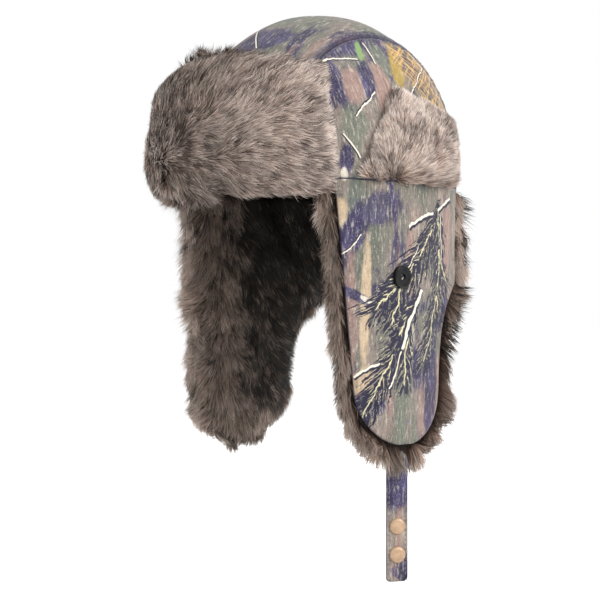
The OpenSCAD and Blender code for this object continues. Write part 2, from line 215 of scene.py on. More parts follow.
# A closed layer between two grids; maps holds a UV map's name and its two numbers at each point
def closedLayer(name, face, back, maps):
    rows, cols = face.shape[:2]
    count = rows * cols
    verts = np.concatenate([face.reshape(-1, 3), back.reshape(-1, 3)])
    at = np.arange(count).reshape(rows, cols)
    quads = np.stack([at[:-1, :-1], at[:-1, 1:], at[1:, 1:], at[1:, :-1]], -1).reshape(-1, 4)
    outward = (face - back).reshape(-1, 3)
    a, b, d = verts[quads[:, 0]], verts[quads[:, 1]], verts[quads[:, 3]]
    if (np.cross(b - a, d - a) * outward[quads[:, 0]]).sum() < 0:
        quads = quads[:, ::-1]
    directed = np.concatenate([quads[:, [k, (k + 1) % 4]] for k in range(4)])
    code = directed[:, 0] * count + directed[:, 1]
    alone = directed[~np.isin(code, directed[:, 1] * count + directed[:, 0])]
    walls = np.stack([alone[:, 1], alone[:, 0], alone[:, 0] + count, alone[:, 1] + count], -1)
    faces = np.concatenate([quads, quads[:, ::-1] + count, walls]).tolist()
    obj = newMesh(name, verts, faces)
    for mapName, uv in maps.items():
        flat = uv.reshape(-1, 2)
        setMap(obj, mapName, np.concatenate([flat, flat]))
    return obj


# A wrapped ring of points is the same grid with its first column repeated; the seam is welded
def weld(obj, distance=0.01 * mm):
    bm = bmesh.new()
    bm.from_mesh(obj.data)
    bmesh.ops.remove_doubles(bm, verts=bm.verts, dist=distance)
    bm.to_mesh(obj.data)
    bm.free()
    return obj


# A written colour such as "8b8270" as linear light
def colour(hexValue):
    parts = [int(hexValue[i:i + 2], 16) / 255 for i in (0, 2, 4)]
    linear = [p / 12.92 if p <= 0.04045 else ((p + 0.055) / 1.055) ** 2.4 for p in parts]
    return (*linear, 1.0)


# One finish: its material, with short calls for the nodes it is built of
class Finish:
    def __init__(self, name):
        self.material = bpy.data.materials.new(name)
        self.material.use_nodes = True
        self.tree = self.material.node_tree
        self.shader = self.tree.nodes["Principled BSDF"]

    def add(self, kind, **settings):
        node = self.tree.nodes.new(kind)
        for key, value in settings.items():
            setattr(node, key, value)
        return node

    def join(self, value, socket):
        if isinstance(value, bpy.types.NodeSocket):
            self.tree.links.new(value, socket)
        else:
            socket.default_value = value

    def calc(self, operation, a, b=None, c=None):
        node = self.add("ShaderNodeMath", operation=operation)
        for socket, value in zip(node.inputs, (a, b, c)):
            if value is not None:
                self.join(value, socket)
        return node.outputs[0]

    def band(self, value, low, high, outLow=0.0, outHigh=1.0):
        node = self.add("ShaderNodeMapRange", interpolation_type="SMOOTHSTEP")
        for socket, number in zip(node.inputs, (value, low, high, outLow, outHigh)):
            self.join(number, socket)
        return node.outputs[0]

    def noise(self, vector, rate, detail=3.0, roughness=0.5, distortion=0.0, out=0):
        node = self.add("ShaderNodeTexNoise")
        self.join(vector, node.inputs["Vector"])
        node.inputs["Scale"].default_value = rate
        node.inputs["Detail"].default_value = detail
        node.inputs["Roughness"].default_value = roughness
        node.inputs["Distortion"].default_value = distortion
        return node.outputs[out]

    # Noise along one number
    def line(self, value, rate, detail=2.0, roughness=0.5):
        node = self.add("ShaderNodeTexNoise", noise_dimensions="1D")
        self.join(value, node.inputs["W"])
        node.inputs["Scale"].default_value = rate
        node.inputs["Detail"].default_value = detail
        node.inputs["Roughness"].default_value = roughness
        return node.outputs[0]

    # Coordinates about a place: moved to it, turned by degrees and counted in units of size
    def about(self, vector, at=(0, 0), heading=0, size=(1, 1)):
        node = self.add("ShaderNodeMapping", vector_type="TEXTURE")
        self.join(vector, node.inputs["Vector"])
        node.inputs["Location"].default_value = (*at, 0)
        node.inputs["Rotation"].default_value = (0, 0, math.radians(heading))
        node.inputs["Scale"].default_value = (*size, 1)
        return node.outputs[0]

    def mix(self, factor, a, b):
        node = self.add("ShaderNodeMix", data_type="RGBA")
        self.join(factor, node.inputs["Factor"])
        for value, socket in ((a, node.inputs[6]), (b, node.inputs[7])):
            self.join(value if isinstance(value, bpy.types.NodeSocket) else colour(value), socket)
        return node.outputs[2]

    def ramp(self, factor, stops):
        node = self.add("ShaderNodeValToRGB")
        self.join(factor, node.inputs[0])
        elements = node.color_ramp.elements
        while len(elements) < len(stops):
            elements.new(0.5)
        for element, (place, hexValue) in zip(elements, stops):
            element.position = place
            element.color = colour(hexValue)
        return node.outputs[0]

    def bump(self, height, distance, under=None):
        node = self.add("ShaderNodeBump")
        node.inputs["Distance"].default_value = distance
        self.join(height, node.inputs["Height"])
        if under is not None:
            self.join(under, node.inputs["Normal"])
        return node.outputs[0]

    def uvMap(self, name):
        return self.add("ShaderNodeUVMap", uv_map=name).outputs[0]

    def split(self, vector):
        node = self.add("ShaderNodeSeparateXYZ")
        self.join(vector, node.inputs[0])
        return node.outputs

    def place(self):
        return self.add("ShaderNodeTexCoord").outputs["Object"]

    def set(self, **values):
        for key, value in values.items():
            self.join(value, self.shader.inputs[key.replace("_", " ")])
        return self.material


# Woodland print. Its coordinates are centimetres on the cloth: across from the middle of the ear, and up
# from the hem. Everything printed is a soft patch, a twig or a pine spray in one of the lists below
printColours = {
    "ground": [(0.30, "54594f"), (0.45, "6d6a61"), (0.56, "80756d"), (0.68, "9a8e83")],
    "purple": [(0.3, "1d1a31"), (0.5, "322d4f"), (0.72, "5b547a")],
    "pink": "977b72", "tan": "c0a98b", "cream": "e2dac9", "navy": "201e33", "green": "7c9a5e",
    "ochre": "a0873f", "needleEdge": "cfc7a0", "straw": "cda66c", "greyGreen": "676d60",
}

# Patches of each colour: middle, heading in degrees, half sizes, how ragged the edge is, how strong
patches = {
    "greyGreen": [
        ((-3.9, 3.4), 80, (0.9, 1.9), 0.5, 0.8), ((-0.4, 8.6), 80, (0.7, 1.7), 0.4, 0.8),
        ((-0.7, -14.8), 88, (0.6, 2.6), 0.6, 0.7), ((20.2, -2.9), 90, (2.8, 2.4), 0.4, 0.7)],
    "pink": [
        ((-3.4, 6.3), 80, (0.7, 1.5), 0.4, 0.8), ((-1.2, 6.2), 85, (0.8, 2.3), 0.4, 0.9),
        ((4.5, -3.8), 88, (0.75, 3.6), 0.3, 0.9), ((0.0, -4.2), 78, (0.35, 1.6), 0.5, 0.8),
        ((-4.5, -8.8), 90, (0.45, 4.4), 0.4, 0.7), ((22.4, 3.2), 90, (1.8, 3.8), 0.4, 0.8)],
    "tan": [
        ((-5.3, -2.7), 80, (0.55, 1.7), 0.4, 0.9), ((-3.5, -8.0), 88, (0.4, 4.4), 0.3, 0.85),
        ((-3.7, -12.8), 60, (0.7, 1.1), 0.5, 0.8), ((17.2, -4.5), 60, (0.9, 3.2), 0.4, 0.7)],
    "ochre": [
        ((0.9, 8.3), 74, (0.65, 2.1), 0.4, 0.95)],
    "navy": [
        ((4.0, 7.4), 130, (2.1, 3.9), 0.4, 0.8)],
    "purple": [
        ((-3.1, 9.7), 5, (1.1, 2.2), 0.5, 0.95), ((-2.2, 7.0), 82, (0.55, 1.8), 0.4, 0.95),
        ((-4.3, 6.9), 85, (0.35, 1.5), 0.5, 0.9), ((-4.7, 1.3), 90, (0.5, 1.1), 0.4, 0.95),
        ((7.1, 1.2), 85, (1.0, 1.7), 0.4, 0.95), ((-4.7, -3.4), 52, (0.6, 1.9), 0.3, 0.95),
        ((-2.4, -1.8), 10, (1.2, 2.0), 0.7, 0.8), ((-1.3, -4.6), 80, (0.35, 1.3), 0.7, 0.7),
        ((-4.2, -7.4), 152, (0.35, 1.25), 0.5, 0.95), ((-3.3, -14.4), 20, (1.0, 1.3), 0.4, 0.95),
        ((0.7, -12.2), 85, (0.6, 1.5), 0.9, 0.8), ((2.2, -13.4), 86, (0.75, 3.6), 0.5, 0.9),
        ((21.0, -6.9), 44, (1.3, 2.6), 0.5, 0.95), ((17.4, 3.4), 60, (0.9, 2.4), 0.5, 0.85),
        ((20.5, 10.5), 95, (1.6, 3.4), 0.6, 0.9)],
    "cream": [
        ((-4.9, 0.3), 90, (0.25, 0.45), 0.3, 0.8), ((-3.4, -7.7), 152, (0.16, 0.5), 0.6, 0.8),
        ((0.1, -10.8), 86, (0.2, 2.2), 0.8, 0.4)],
}

# Twigs: where they start and end, half width in millimetres, and how far they bow sideways
twigs = [
    ((21.4, -2.2), (19.9, 1.9), 1.3, 0.1), ((19.9, 1.9), (19.2, 4.8), 1.1, 0.1),
    ((-1.2, 10.1), (-1.0, 8.2), 0.6, 0.1), ((-4.7, 8.2), (-2.2, 8.5), 0.7, 0.2),
    ((-2.0, 6.0), (-3.8, 4.1), 0.7, 0.1), ((-4.8, 3.0), (-3.8, 1.3), 0.7, 0.1),
    ((0.9, 5.6), (4.8, 8.9), 0.6, 0.3), ((2.4, 6.0), (6.2, 4.4), 0.7, -0.5),
    ((3.4, 9.8), (6.0, 6.0), 0.5, 0.3), ((-0.1, -2.95), (2.6, -1.9), 1.4, 0.25),
    ((3.1, -1.7), (5.2, -0.8), 1.3, 0.05), ((1.2, -7.0), (-0.8, -11.0), 1.6, -0.3),
    ((-0.8, -11.0), (-1.9, -13.5), 0.7, 0.1), ((-3.8, -3.5), (-5.5, -5.0), 0.5, 0.3),
    ((-4.4, -12.6), (-2.4, -11.8), 1.0, 0.15), ((3.4, -1.9), (3.6, -5.4), 0.6, 0.1),
    ((0.9, -4.1), (-1.3, -6.9), 0.5, 0.2), ((21.5, -8.0), (17.6, -2.4), 0.7, 0.5),
    ((16.0, 9.5), (20.0, 13.5), 0.8, 0.4), ((10.5, -3.0), (11.5, 6.0), 0.7, 0.5),
]

# Pine sprays: where the spray starts, heading, length and reach of the needles to each side
pines = [
    ((3.1, -1.5), 244, 4.0, 1.0), ((2.4, -3.0), 232, 5.2, 1.25), ((0.5, -5.3), 223, 4.8, 0.9),
    ((-0.6, -6.2), 254, 3.6, 0.8), ((3.1, -1.6), 274, 4.4, 0.9), ((3.3, -4.3), 266, 4.8, 1.15),
    ((3.0, -7.4), 250, 5.0, 0.9), ((3.7, -5.2), 304, 1.9, 0.7), ((-0.4, -9.5), 239, 3.4, 0.9),
    ((-1.5, -11.2), 240, 5.0, 0.95), ((-0.3, -9.8), 264, 3.8, 0.7), ((0.6, -7.6), 236, 3.2, 0.75),
    ((10.4, 3.4), 262, 5.0, 1.1), ((-9.8, -1.0), 275, 6.0, 1.2), ((8.6, -4.0), 248, 5.2, 1.1),
    ((20.6, 9.0), 250, 5.0, 1.2), ((15.5, -1.0), 268, 5.0, 1.2),
]


# Place along and to the side of a line through a point, from the print's own two coordinates
def along(f, spot, at, heading, size=(1, 1)):
    c = math.cos(math.radians(heading))
    s = math.sin(math.radians(heading))
    x, y = spot
    ahead = f.calc("MULTIPLY_ADD", y, s / size[0], -(at[0] * c + at[1] * s) / size[0])
    aside = f.calc("MULTIPLY_ADD", y, c / size[1], (at[0] * s - at[1] * c) / size[1])
    return f.calc("MULTIPLY_ADD", x, c / size[0], ahead), f.calc("MULTIPLY_ADD", x, -s / size[1], aside)


# The same coordinates, worked out only once another value is known. It keeps Cycles from holding every
# printed thing's values at the same time, which is more than it has room for
def after(f, spot, known, trace=1e-6):
    return [f.calc("MULTIPLY_ADD", known, trace, number) for number in spot]


def printPatch(f, spot, ragged, at, heading, size, share, strength):
    ahead, aside = along(f, spot, at, heading, (size[1], size[0]))
    near = f.calc("SQRT", f.calc("MULTIPLY_ADD", ahead, ahead, f.calc("MULTIPLY", aside, aside)))
    return f.band(f.calc("MULTIPLY_ADD", ragged, share * 2, near), 1.12, 0.72, 0.0, strength)


# One more printed thing over those before it. Each number stands for an ink, and 0 is the bare ground
def over(f, before, *inks):
    cover, value = inks[0]
    for more, ink in inks[1:]:
        value = f.calc("MAXIMUM", value, f.calc("MULTIPLY", more, ink))
        cover = f.calc("MAXIMUM", cover, more)
    return f.calc("MULTIPLY_ADD", before, f.calc("SUBTRACT", 1.0, cover), value)


def printTwig(f, spot, start, end, halfWidth, bow):
    length = math.dist(start, end)
    heading = math.degrees(math.atan2(end[1] - start[1], end[0] - start[0]))
    ahead, aside = along(f, spot, start, heading, (length, halfWidth / 10))
    arch = f.calc("MULTIPLY", f.calc("SINE", f.calc("MULTIPLY", ahead, math.pi)), bow * 10 / halfWidth)
    across = f.calc("SUBTRACT", aside, arch)
    inside = f.calc("MULTIPLY", f.band(ahead, -0.01, 0.02), f.band(ahead, 1.01, 0.96))
    light = f.calc("MULTIPLY", inside, f.band(f.calc("ABSOLUTE", across), 1.1, 0.6))
    shade = f.calc("MULTIPLY", inside, f.band(f.calc("ABSOLUTE", f.calc("ADD", across, 1.1)), 1.3, 0.7))
    return light, shade


# Needles lie in short rows that overlap, each row a little farther from the stem and shifted along it
needles = {"slant": math.radians(21), "rowWidth": 0.34, "waver": 0.35, "waverRate": 4.0, "rowShift": 3.37,
           "rate": 3.3, "drift": 1.1, "taper": 0.20, "share": 0.61, "sideShift": 7.7}


def printPine(f, spot, bend, start, heading, length, reach):
    ahead, aside = along(f, (f.calc("ADD", spot[0], bend), spot[1]), start, heading)
    off = f.calc("ABSOLUTE", aside)
    foot = f.calc("MULTIPLY_ADD", off, -1 / math.tan(needles["slant"]), ahead)
    which = f.calc("MULTIPLY_ADD", f.calc("SIGN", aside), needles["sideShift"], length * 5 + heading)
    waver = f.calc("SINE", f.calc("MULTIPLY", foot, needles["waverRate"]))
    row = f.calc("MULTIPLY_ADD", waver, needles["waver"], f.calc("DIVIDE", off, needles["rowWidth"]))
    reached = f.calc("FRACT", row)
    shifted = f.calc("MULTIPLY_ADD", f.calc("FLOOR", row), needles["rowShift"], which)
    drifted = f.calc("MULTIPLY_ADD", off, needles["drift"], shifted)
    streak = f.line(f.calc("MULTIPLY_ADD", foot, needles["rate"], drifted), 1.0, 1, 0.6)
    grown = f.line(f.calc("ADD", foot, which), 2.2, 1)
    width = f.calc("MULTIPLY", f.band(foot, length + 0.4, length - 2.4, 0.35, 1.0),
                   f.calc("MULTIPLY", grown, 2.0 * reach))
    inside = f.calc("MULTIPLY", f.band(foot, -0.9, -0.6), f.band(foot, length, length - 0.3))
    inside = f.calc("MULTIPLY", inside, f.band(f.calc("SUBTRACT", off, width), 0.04, -0.10))
    needle = f.calc("MULTIPLY_ADD", reached, needles["taper"], f.calc("SUBTRACT", needles["share"], streak))
    dark = f.calc("MULTIPLY", inside, f.band(needle, 0.10, 0.15))
    rim = f.calc("MULTIPLY", f.band(needle, 0.09, 0.06), f.band(needle, -0.03, 0.01))
    edge = f.calc("MULTIPLY", inside, rim)
    stem = f.calc("MULTIPLY", f.band(off, 0.06, 0.03),
                  f.calc("MULTIPLY", f.band(ahead, -0.1, 0.1), f.band(ahead, length, length - 0.6)))
    return dark, edge, stem


# The cloth under the print: a plain weave of 0.5 mm threads, in the print's centimetres, and small creases
weaveLook = {"threadPitch": 0.05, "threadHeight": 0.05 * mm, "creaseHeight": 0.35 * mm, "creaseRate": 1.6,
             "seamTint": "282440", "seamFrom": 0.3 * mm, "seamTo": 1.6 * mm, "specular": 0.3, "sheen": 0.12}


def woodlandCloth(name):
    f = Finish(name)
    spot = f.about(f.uvMap("print"), size=(0.01, 0.01))
    place = f.split(spot)[:2]
    bark = f.noise(f.about(spot, size=(1, 2.6)), 0.42, 4, 0.55, 0.6)
    shade = f.ramp(bark, printColours["ground"])
    purple = f.ramp(f.noise(f.about(spot, size=(0.5, 1.5)), 0.8, 4, 0.6), printColours["purple"])
    blotch = f.noise(f.about(spot, (3, 8), size=(1, 1.7)), 0.33, 3, 0.55, 0.9)
    shade = f.mix(f.band(blotch, 0.53, 0.60, 0.0, 0.9), shade, purple)
    smear = f.noise(f.about(spot, (7, 2), size=(0.7, 3.4)), 0.5, 3, 0.5, 0.4)
    shade = f.mix(f.band(smear, 0.56, 0.66, 0.0, 0.75), shade, printColours["pink"])
    shade = f.mix(f.band(smear, 0.40, 0.33, 0.0, 0.7), shade, printColours["greyGreen"])
    ragged = f.calc("SUBTRACT", f.noise(f.about(spot, size=(0.8, 1.5)), 1.1, 4, 0.6), 0.5)
    last = ragged
    for kind, places in patches.items():
        mask = 0.0
        for one in places:
            last = printPatch(f, after(f, place, last), ragged, *one)
            mask = f.calc("MAXIMUM", mask, last)
        shade = f.mix(mask, shade, purple if kind == "purple" else printColours[kind])
    grain = f.noise(f.about(spot, size=(0.16, 0.8)), 1.0, 4, 0.65)
    shade = f.mix(f.band(grain, 0.52, 0.70, 0.0, 0.40), shade, printColours["cream"])
    shade = f.mix(f.band(grain, 0.48, 0.32, 0.0, 0.45), shade, printColours["navy"])
    flecks = f.noise(f.about(spot, (4, 1), size=(0.07, 0.13)), 1.0, 2, 0.6)
    shade = f.mix(f.band(flecks, 0.60, 0.72, 0.0, 0.40), shade, printColours["cream"])
    shade = f.mix(f.band(flecks, 0.42, 0.30, 0.0, 0.40), shade, printColours["navy"])
    # Dry grass over the ochre patch: two sets of thin straw lines
    meadow = printPatch(f, place, ragged, (3.8, 7.4), 125, (2.3, 4.2), 0.4, 1.0)
    for heading, at in ((40, (0, 0)), (-38, (2, 5))):
        blade = f.noise(f.about(spot, at, heading, (2.6, 0.13)), 1.0, 2, 0.5, 0.5)
        lines = f.calc("MULTIPLY", f.band(blade, 0.55, 0.58), f.band(blade, 0.68, 0.64))
        shade = f.mix(f.calc("MULTIPLY", lines, meadow), shade, printColours["straw"])
    leaf = printPatch(f, place, ragged, (-1.8, 9.3), 76, (0.24, 1.0), 0.1, 0.9)
    shade = f.mix(leaf, shade, printColours["green"])
    bend = f.calc("MULTIPLY", ragged, 0.9)
    mark = 0.0
    for one in pines:
        dark, edge, stem = printPine(f, after(f, place, last), bend, *one)
        mark = over(f, mark, (dark, dark), (edge, 2.0), (stem, 2.6))
        last = mark
    shade = f.mix(f.band(mark, 0.0, 1.0), shade, printColours["navy"])
    shade = f.mix(f.band(mark, 1.2, 1.9), shade, printColours["needleEdge"])
    crooked = (f.calc("MULTIPLY_ADD", ragged, 0.5, place[0]), f.calc("MULTIPLY_ADD", ragged, -0.4, place[1]))
    mark = 0.0
    for start, end, halfWidth, bow in twigs:
        light, under = printTwig(f, after(f, crooked, last), start, end, halfWidth, bow * 0.6)
        mark = over(f, mark, (under, under), (light, 2.0))
        last = mark
    shade = f.mix(f.band(mark, 0.0, 1.0), shade, printColours["navy"])
    shade = f.mix(f.band(mark, 1.2, 1.9), shade, printColours["cream"])
    # Seams and turned edges are darker
    look = weaveLook
    fromSeam = f.split(f.uvMap("seam"))[0]
    nearSeam = f.band(fromSeam, look["seamTo"], look["seamFrom"], 0.0, 0.8)
    shade = f.mix(nearSeam, shade, look["seamTint"])
    across, up = place
    threads = 2 * math.pi / look["threadPitch"]
    weave = f.calc("MULTIPLY", f.calc("SINE", f.calc("MULTIPLY", across, threads)),
                   f.calc("SINE", f.calc("MULTIPLY", up, threads)))
    height = f.bump(weave, look["threadHeight"])
    crease = f.noise(spot, look["creaseRate"], 3, 0.5)
    f.shader.inputs["Specular IOR Level"].default_value = look["specular"]
    f.shader.inputs["Sheen Weight"].default_value = look["sheen"]
    return f.set(Base_Color=shade, Roughness=f.band(bark, 0.3, 0.7, 0.72, 0.86),
                 Normal=f.bump(crease, look["creaseHeight"], height))


camoFabric = woodlandCloth("camo_fabric")
print("print mixed")


# Black stuffs: a shiny quilted lining, woven tape and thread
def wovenStuff(name, low, high, pitch, roughness, sheen):
    f = Finish(name)
    spots = f.noise(f.place(), 180, 4)
    across, up, _ = f.split(f.uvMap("print"))
    weave = f.calc("MULTIPLY", f.calc("SINE", f.calc("MULTIPLY", across, 2 * math.pi / pitch)),
                   f.calc("SINE", f.calc("MULTIPLY", up, 2 * math.pi / pitch)))
    f.shader.inputs["Sheen Weight"].default_value = sheen
    return f.set(Base_Color=f.ramp(spots, [(0.3, low), (0.7, high)]), Normal=f.bump(weave, pitch / 8),
                 Roughness=f.band(spots, 0.3, 0.7, roughness - 0.06, roughness + 0.06))


liningFabric = wovenStuff("quilted_lining", "0b0b0d", "17171a", 0.4 * mm, 0.42, 0.15)
blackTape = wovenStuff("black_tape", "0d0d0e", "1b1b1c", 0.8 * mm, 0.75, 0.2)
labelWeave = wovenStuff("label", "c9c4ba", "dedad2", 0.5 * mm, 0.7, 0.1)
printThread = wovenStuff("thread", "5a5366", "776f80", 0.5 * mm, 0.6, 0.1)


# Enamelled metal of the snaps: small dents, a mottled tone and fine rubbed scuffs
def enamel(name, low, high, rub, roughness, metallic):
    f = Finish(name)
    spot = f.place()
    spots = f.noise(spot, 320, 4)
    scuff = f.noise(f.about(spot, size=(1, 0.2)), 900, 2, 0.7)
    base = f.ramp(spots, [(0.3, low), (0.7, high)])
    f.shader.inputs["Coat Weight"].default_value = 0.1
    f.shader.inputs["Coat Roughness"].default_value = 0.15
    f.shader.inputs["Specular IOR Level"].default_value = 0.2
    f.shader.inputs["Metallic"].default_value = metallic
    return f.set(Base_Color=f.mix(f.band(scuff, 0.66, 0.74, 0.0, 0.5), base, rub),
                 Roughness=f.band(scuff, 0.35, 0.7, roughness, roughness + 0.15),
                 Normal=f.bump(spots, 0.05 * mm))


blackEnamel = enamel("black_metal", "040405", "09090c", "2a2a30", 0.32, 0.0)
tanEnamel = enamel("tan_metal", "9c8167", "b3977b", "cdb99e", 0.42, 0.2)


# Fur. A hair's colour depends on its own tone and on how far along it lies, from root to tip
def furHair(name, light, dark):
    f = Finish(name)
    tone, along, _ = f.split(f.uvMap("strand"))
    f.shader.inputs["Specular IOR Level"].default_value = 0.35
    f.shader.inputs["Roughness"].default_value = 0.6
    return f.set(Base_Color=f.mix(tone, f.ramp(along, dark), f.ramp(along, light)))


def furSkin(name, low, high):
    f = Finish(name)
    spots = f.noise(f.place(), 420, 4)
    f.shader.inputs["Specular IOR Level"].default_value = 0.1
    f.shader.inputs["Roughness"].default_value = 0.95
    return f.set(Base_Color=f.ramp(spots, [(0.3, low), (0.7, high)]), Normal=f.bump(spots, 2 * mm))


# Both furs' hairs go near black at the root: partly the hairs' own colour, partly painted shadow deep in the
# pile
topHair = furHair("fur_top",
                  [(0.0, "241a15"), (0.3, "765f52"), (0.65, "c2a899"), (1.0, "f0e4da")],
                  [(0.0, "0c0806"), (0.4, "2a1f1a"), (0.75, "423128"), (1.0, "15100d")])
# The inner fur is a darker copy of the top fur: its near-black dark hairs are painted shadow for the fur deep
# inside the flaps
shadedInnerHair = furHair("fur_inner_shaded",
                    [(0.0, "261c17"), (0.35, "776053"), (0.7, "b89f90"), (1.0, "e6d8cc")],
                    [(0.0, "060505"), (0.5, "12110e"), (0.8, "1b1a15"), (1.0, "0c0b09")])
topSkin = furSkin("fur_skin", "1c1512", "4a3a31")
# The inner skin is a darker copy of the skin: painted shadow inside the flaps
shadedInnerSkin = furSkin("fur_skin_inner_shaded", "0c0a08", "2e2620")
print("finishes mixed")


# Rows of stitches along a line on the cloth. A stitch has four rings of six points, and dips at both ends
stitchForm = {"along": np.array([-0.5, -0.32, 0.32, 0.5]), "thick": np.array([0.25, 1.0, 1.0, 0.25]),
              "rise": np.array([-0.6, 0.35, 0.35, -0.6])}


def stitchRow(name, line, normals, stitch, body, material):
    steps = np.linalg.norm(np.diff(line, axis=0), axis=1)
    run = np.concatenate([[0], np.cumsum(steps)])
    middles = np.arange(stitch["pitch"] / 2, run[-1], stitch["pitch"])

    def at(where, values):
        return np.stack([np.interp(where, run, values[:, k]) for k in range(3)], -1)

    near = 0.2 * mm
    centre = at(middles, line)
    ahead = unit(at(middles + near, line) - at(middles - near, line))
    up = unit(at(middles, normals))
    side = np.cross(ahead, up)
    along = stitchForm["along"] * stitch["length"]
    thick = stitchForm["thick"] * stitch["radius"]
    rise = stitchForm["rise"] * stitch["radius"]
    around = np.arange(6) * math.pi / 3
    ring = (ahead[:, None, None] * along[:, None, None]
            + side[:, None, None] * (thick[:, None] * np.cos(around))[..., None]
            + up[:, None, None] * (thick[:, None] * np.sin(around) + rise[:, None])[..., None])
    verts = (centre[:, None, None] + ring).reshape(-1, 3)
    first = np.arange(len(middles))[:, None] * 24
    sides = [[r * 6 + k, (r + 1) * 6 + k, (r + 1) * 6 + (k + 1) % 6, r * 6 + (k + 1) % 6]
             for r in range(3) for k in range(6)]
    ends = [[0, 1, 2, 3], [0, 3, 4, 5], [21, 20, 19, 18], [23, 22, 21, 18]]
    quads = np.concatenate([first + np.array(corner) for corner in sides + ends])
    obj = paint(bulkMesh(name, verts, quads, np.zeros((0, 3), int)), material)
    setMap(obj, "print", np.zeros((len(verts), 2)))
    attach(obj, body)


# The crown's cloth. Distance from a seam raises a welt, with small gathers that the stitching draws in
crown = {"dents": 1.1 * mm, "dentSize": 75 * mm, "dentFree": 15 * mm, "welt": 0.9 * mm, "weltFrom": 3.4 * mm,
         "weltWidth": 2.0 * mm, "dip": 0.7 * mm, "dipWidth": 0.9 * mm, "gather": 0.45 * mm,
         "gatherEvery": 8.5 * mm, "gatherReach": 7 * mm, "stitchFrom": 2.2 * mm, "darkWelt": 0.3,
         "hem": 12 * mm,
         "stitch": {"pitch": 3.4 * mm, "length": 2.4 * mm, "radius": 0.28 * mm}}


def sewnRelief(fromSeam, along, points, seed):
    welt = crown["welt"] * np.exp(-((fromSeam - crown["weltFrom"]) / crown["weltWidth"]) ** 2)
    dip = crown["dip"] * np.exp(-(fromSeam / crown["dipWidth"]) ** 2)
    wander = lumps(points, 30 * mm, seed + 1)
    gather = np.sin(2 * math.pi * along / crown["gatherEvery"] + 1.3 * wander)
    gather = gather * crown["gather"] * np.exp(-fromSeam / crown["gatherReach"])
    gather = gather * (1 - np.exp(-fromSeam / (1 * mm)))
    dents = crown["dents"] * lumps(points, crown["dentSize"], seed)
    dents = dents * np.clip(fromSeam / crown["dentFree"], 0.15, 1)
    return welt - dip + gather + dents


def cloth(name, points, towards, relief, maps, replaced, thickness=layers["cloth"]):
    normals = gridNormals(points, towards)
    face = points + normals * relief[..., None]
    obj = paint(closedLayer(name, face, face - normals * thickness, maps), camoFabric)
    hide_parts(*replaced)
    return obj, face, normals


def buildTopPanel():
    i, j = grid(100, 230)
    x = mix(-topHalfWidth, topHalfWidth, i)
    reach = halfLength * np.sqrt(1 - (x / halfWidth) ** 2)
    y = -reach * np.cos(math.pi * j)
    points = np.stack([x, y, domeZ(x, y)], -1)
    along = runLength(points, 1)
    fromSeam = topHalfWidth - np.abs(x)
    relief = sewnRelief(fromSeam, along, points, 3)
    hem = np.minimum(along, along[:, -1:] - along)
    relief = relief * ease(hem / crown["hem"])
    maps = {"print": np.stack([x + 0.2, along - along[:, -1:] / 2], -1),
            "seam": np.stack([np.minimum(fromSeam * crown["darkWelt"], hem), along], -1)}
    obj, face, normals = cloth("crown_top_cloth", points, points, relief, maps, ["crown_top_panel"])
    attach(obj, "hat")
    edge = int(round(crown["stitchFrom"] / (2 * topHalfWidth) * 99))
    for side, row in (("right", edge), ("left", 99 - edge)):
        stitchRow("top_stitching_" + side, face[row, 8:-8], normals[row, 8:-8], crown["stitch"], "hat",
                  printThread)


def buildSidePanel(side, sideName, shift):
    i, j = grid(210, 90)
    edgeX = sideLow.x
    start = math.asin(edgeX / (halfWidth - layers["cloth"])) + math.radians(0.5)
    t = mix(start, math.pi - start, i)
    seamShare = edgeX / (halfWidth * np.sin(t))
    r = 1 - (1 - seamShare) * j ** 1.3
    x = r * halfWidth * np.sin(t)
    y = -r * halfLength * np.cos(t)
    points = np.stack([x * side, y, domeZ(x, y)], -1)
    up = runLength(points, 1)
    along = runLength(points[:, -1:], 0) + 0 * up
    fromSeam = up[:, -1:] - up
    relief = sewnRelief(fromSeam, along, points, 11 + side) * ease(up / crown["hem"])
    maps = {"print": np.stack([y * side + shift[0], up + shift[1]], -1),
            "seam": np.stack([np.minimum(fromSeam * crown["darkWelt"], up), along], -1)}
    node = "crown_side_panel_" + sideName
    obj, face, normals = cloth("crown_side_cloth_" + sideName, points, points, relief, maps, [node])
    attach(obj, "hat")
    inset = np.argmin(np.abs(fromSeam - crown["stitchFrom"]), axis=1)
    pick = np.arange(6, 204)
    stitchRow("side_stitching_" + sideName, face[pick, inset[pick]], normals[pick, inset[pick]],
              crown["stitch"], "hat", printThread)


buildTopPanel()
printShift = {"left": (0.0, 0.0), "right": (0.012, -0.03)}
for side, sideName in ((1, "left"), (-1, "right")):
    buildSidePanel(side, sideName, printShift[sideName])
print("crown sewn")


# Inside the crown: a quilted lining, a sweatband and the binding of the raw hem
def hemRing(off, z, count):
    t = np.linspace(0, 2 * math.pi, count)
    z = np.asarray(z)[:, None]
    r = lean(-halfLength * np.cos(t)[None, :], z, off)
    return np.stack([r * (halfWidth + off) * np.sin(t), -r * (halfLength + off) * np.cos(t),
                     z + 0 * r], -1)


quilt = {"diamond": 28 * mm, "puff": 1.1 * mm, "line": 0.35, "thick": 2.5 * mm, "turnFrom": 30 * mm,
         "turnOver": 50 * mm}


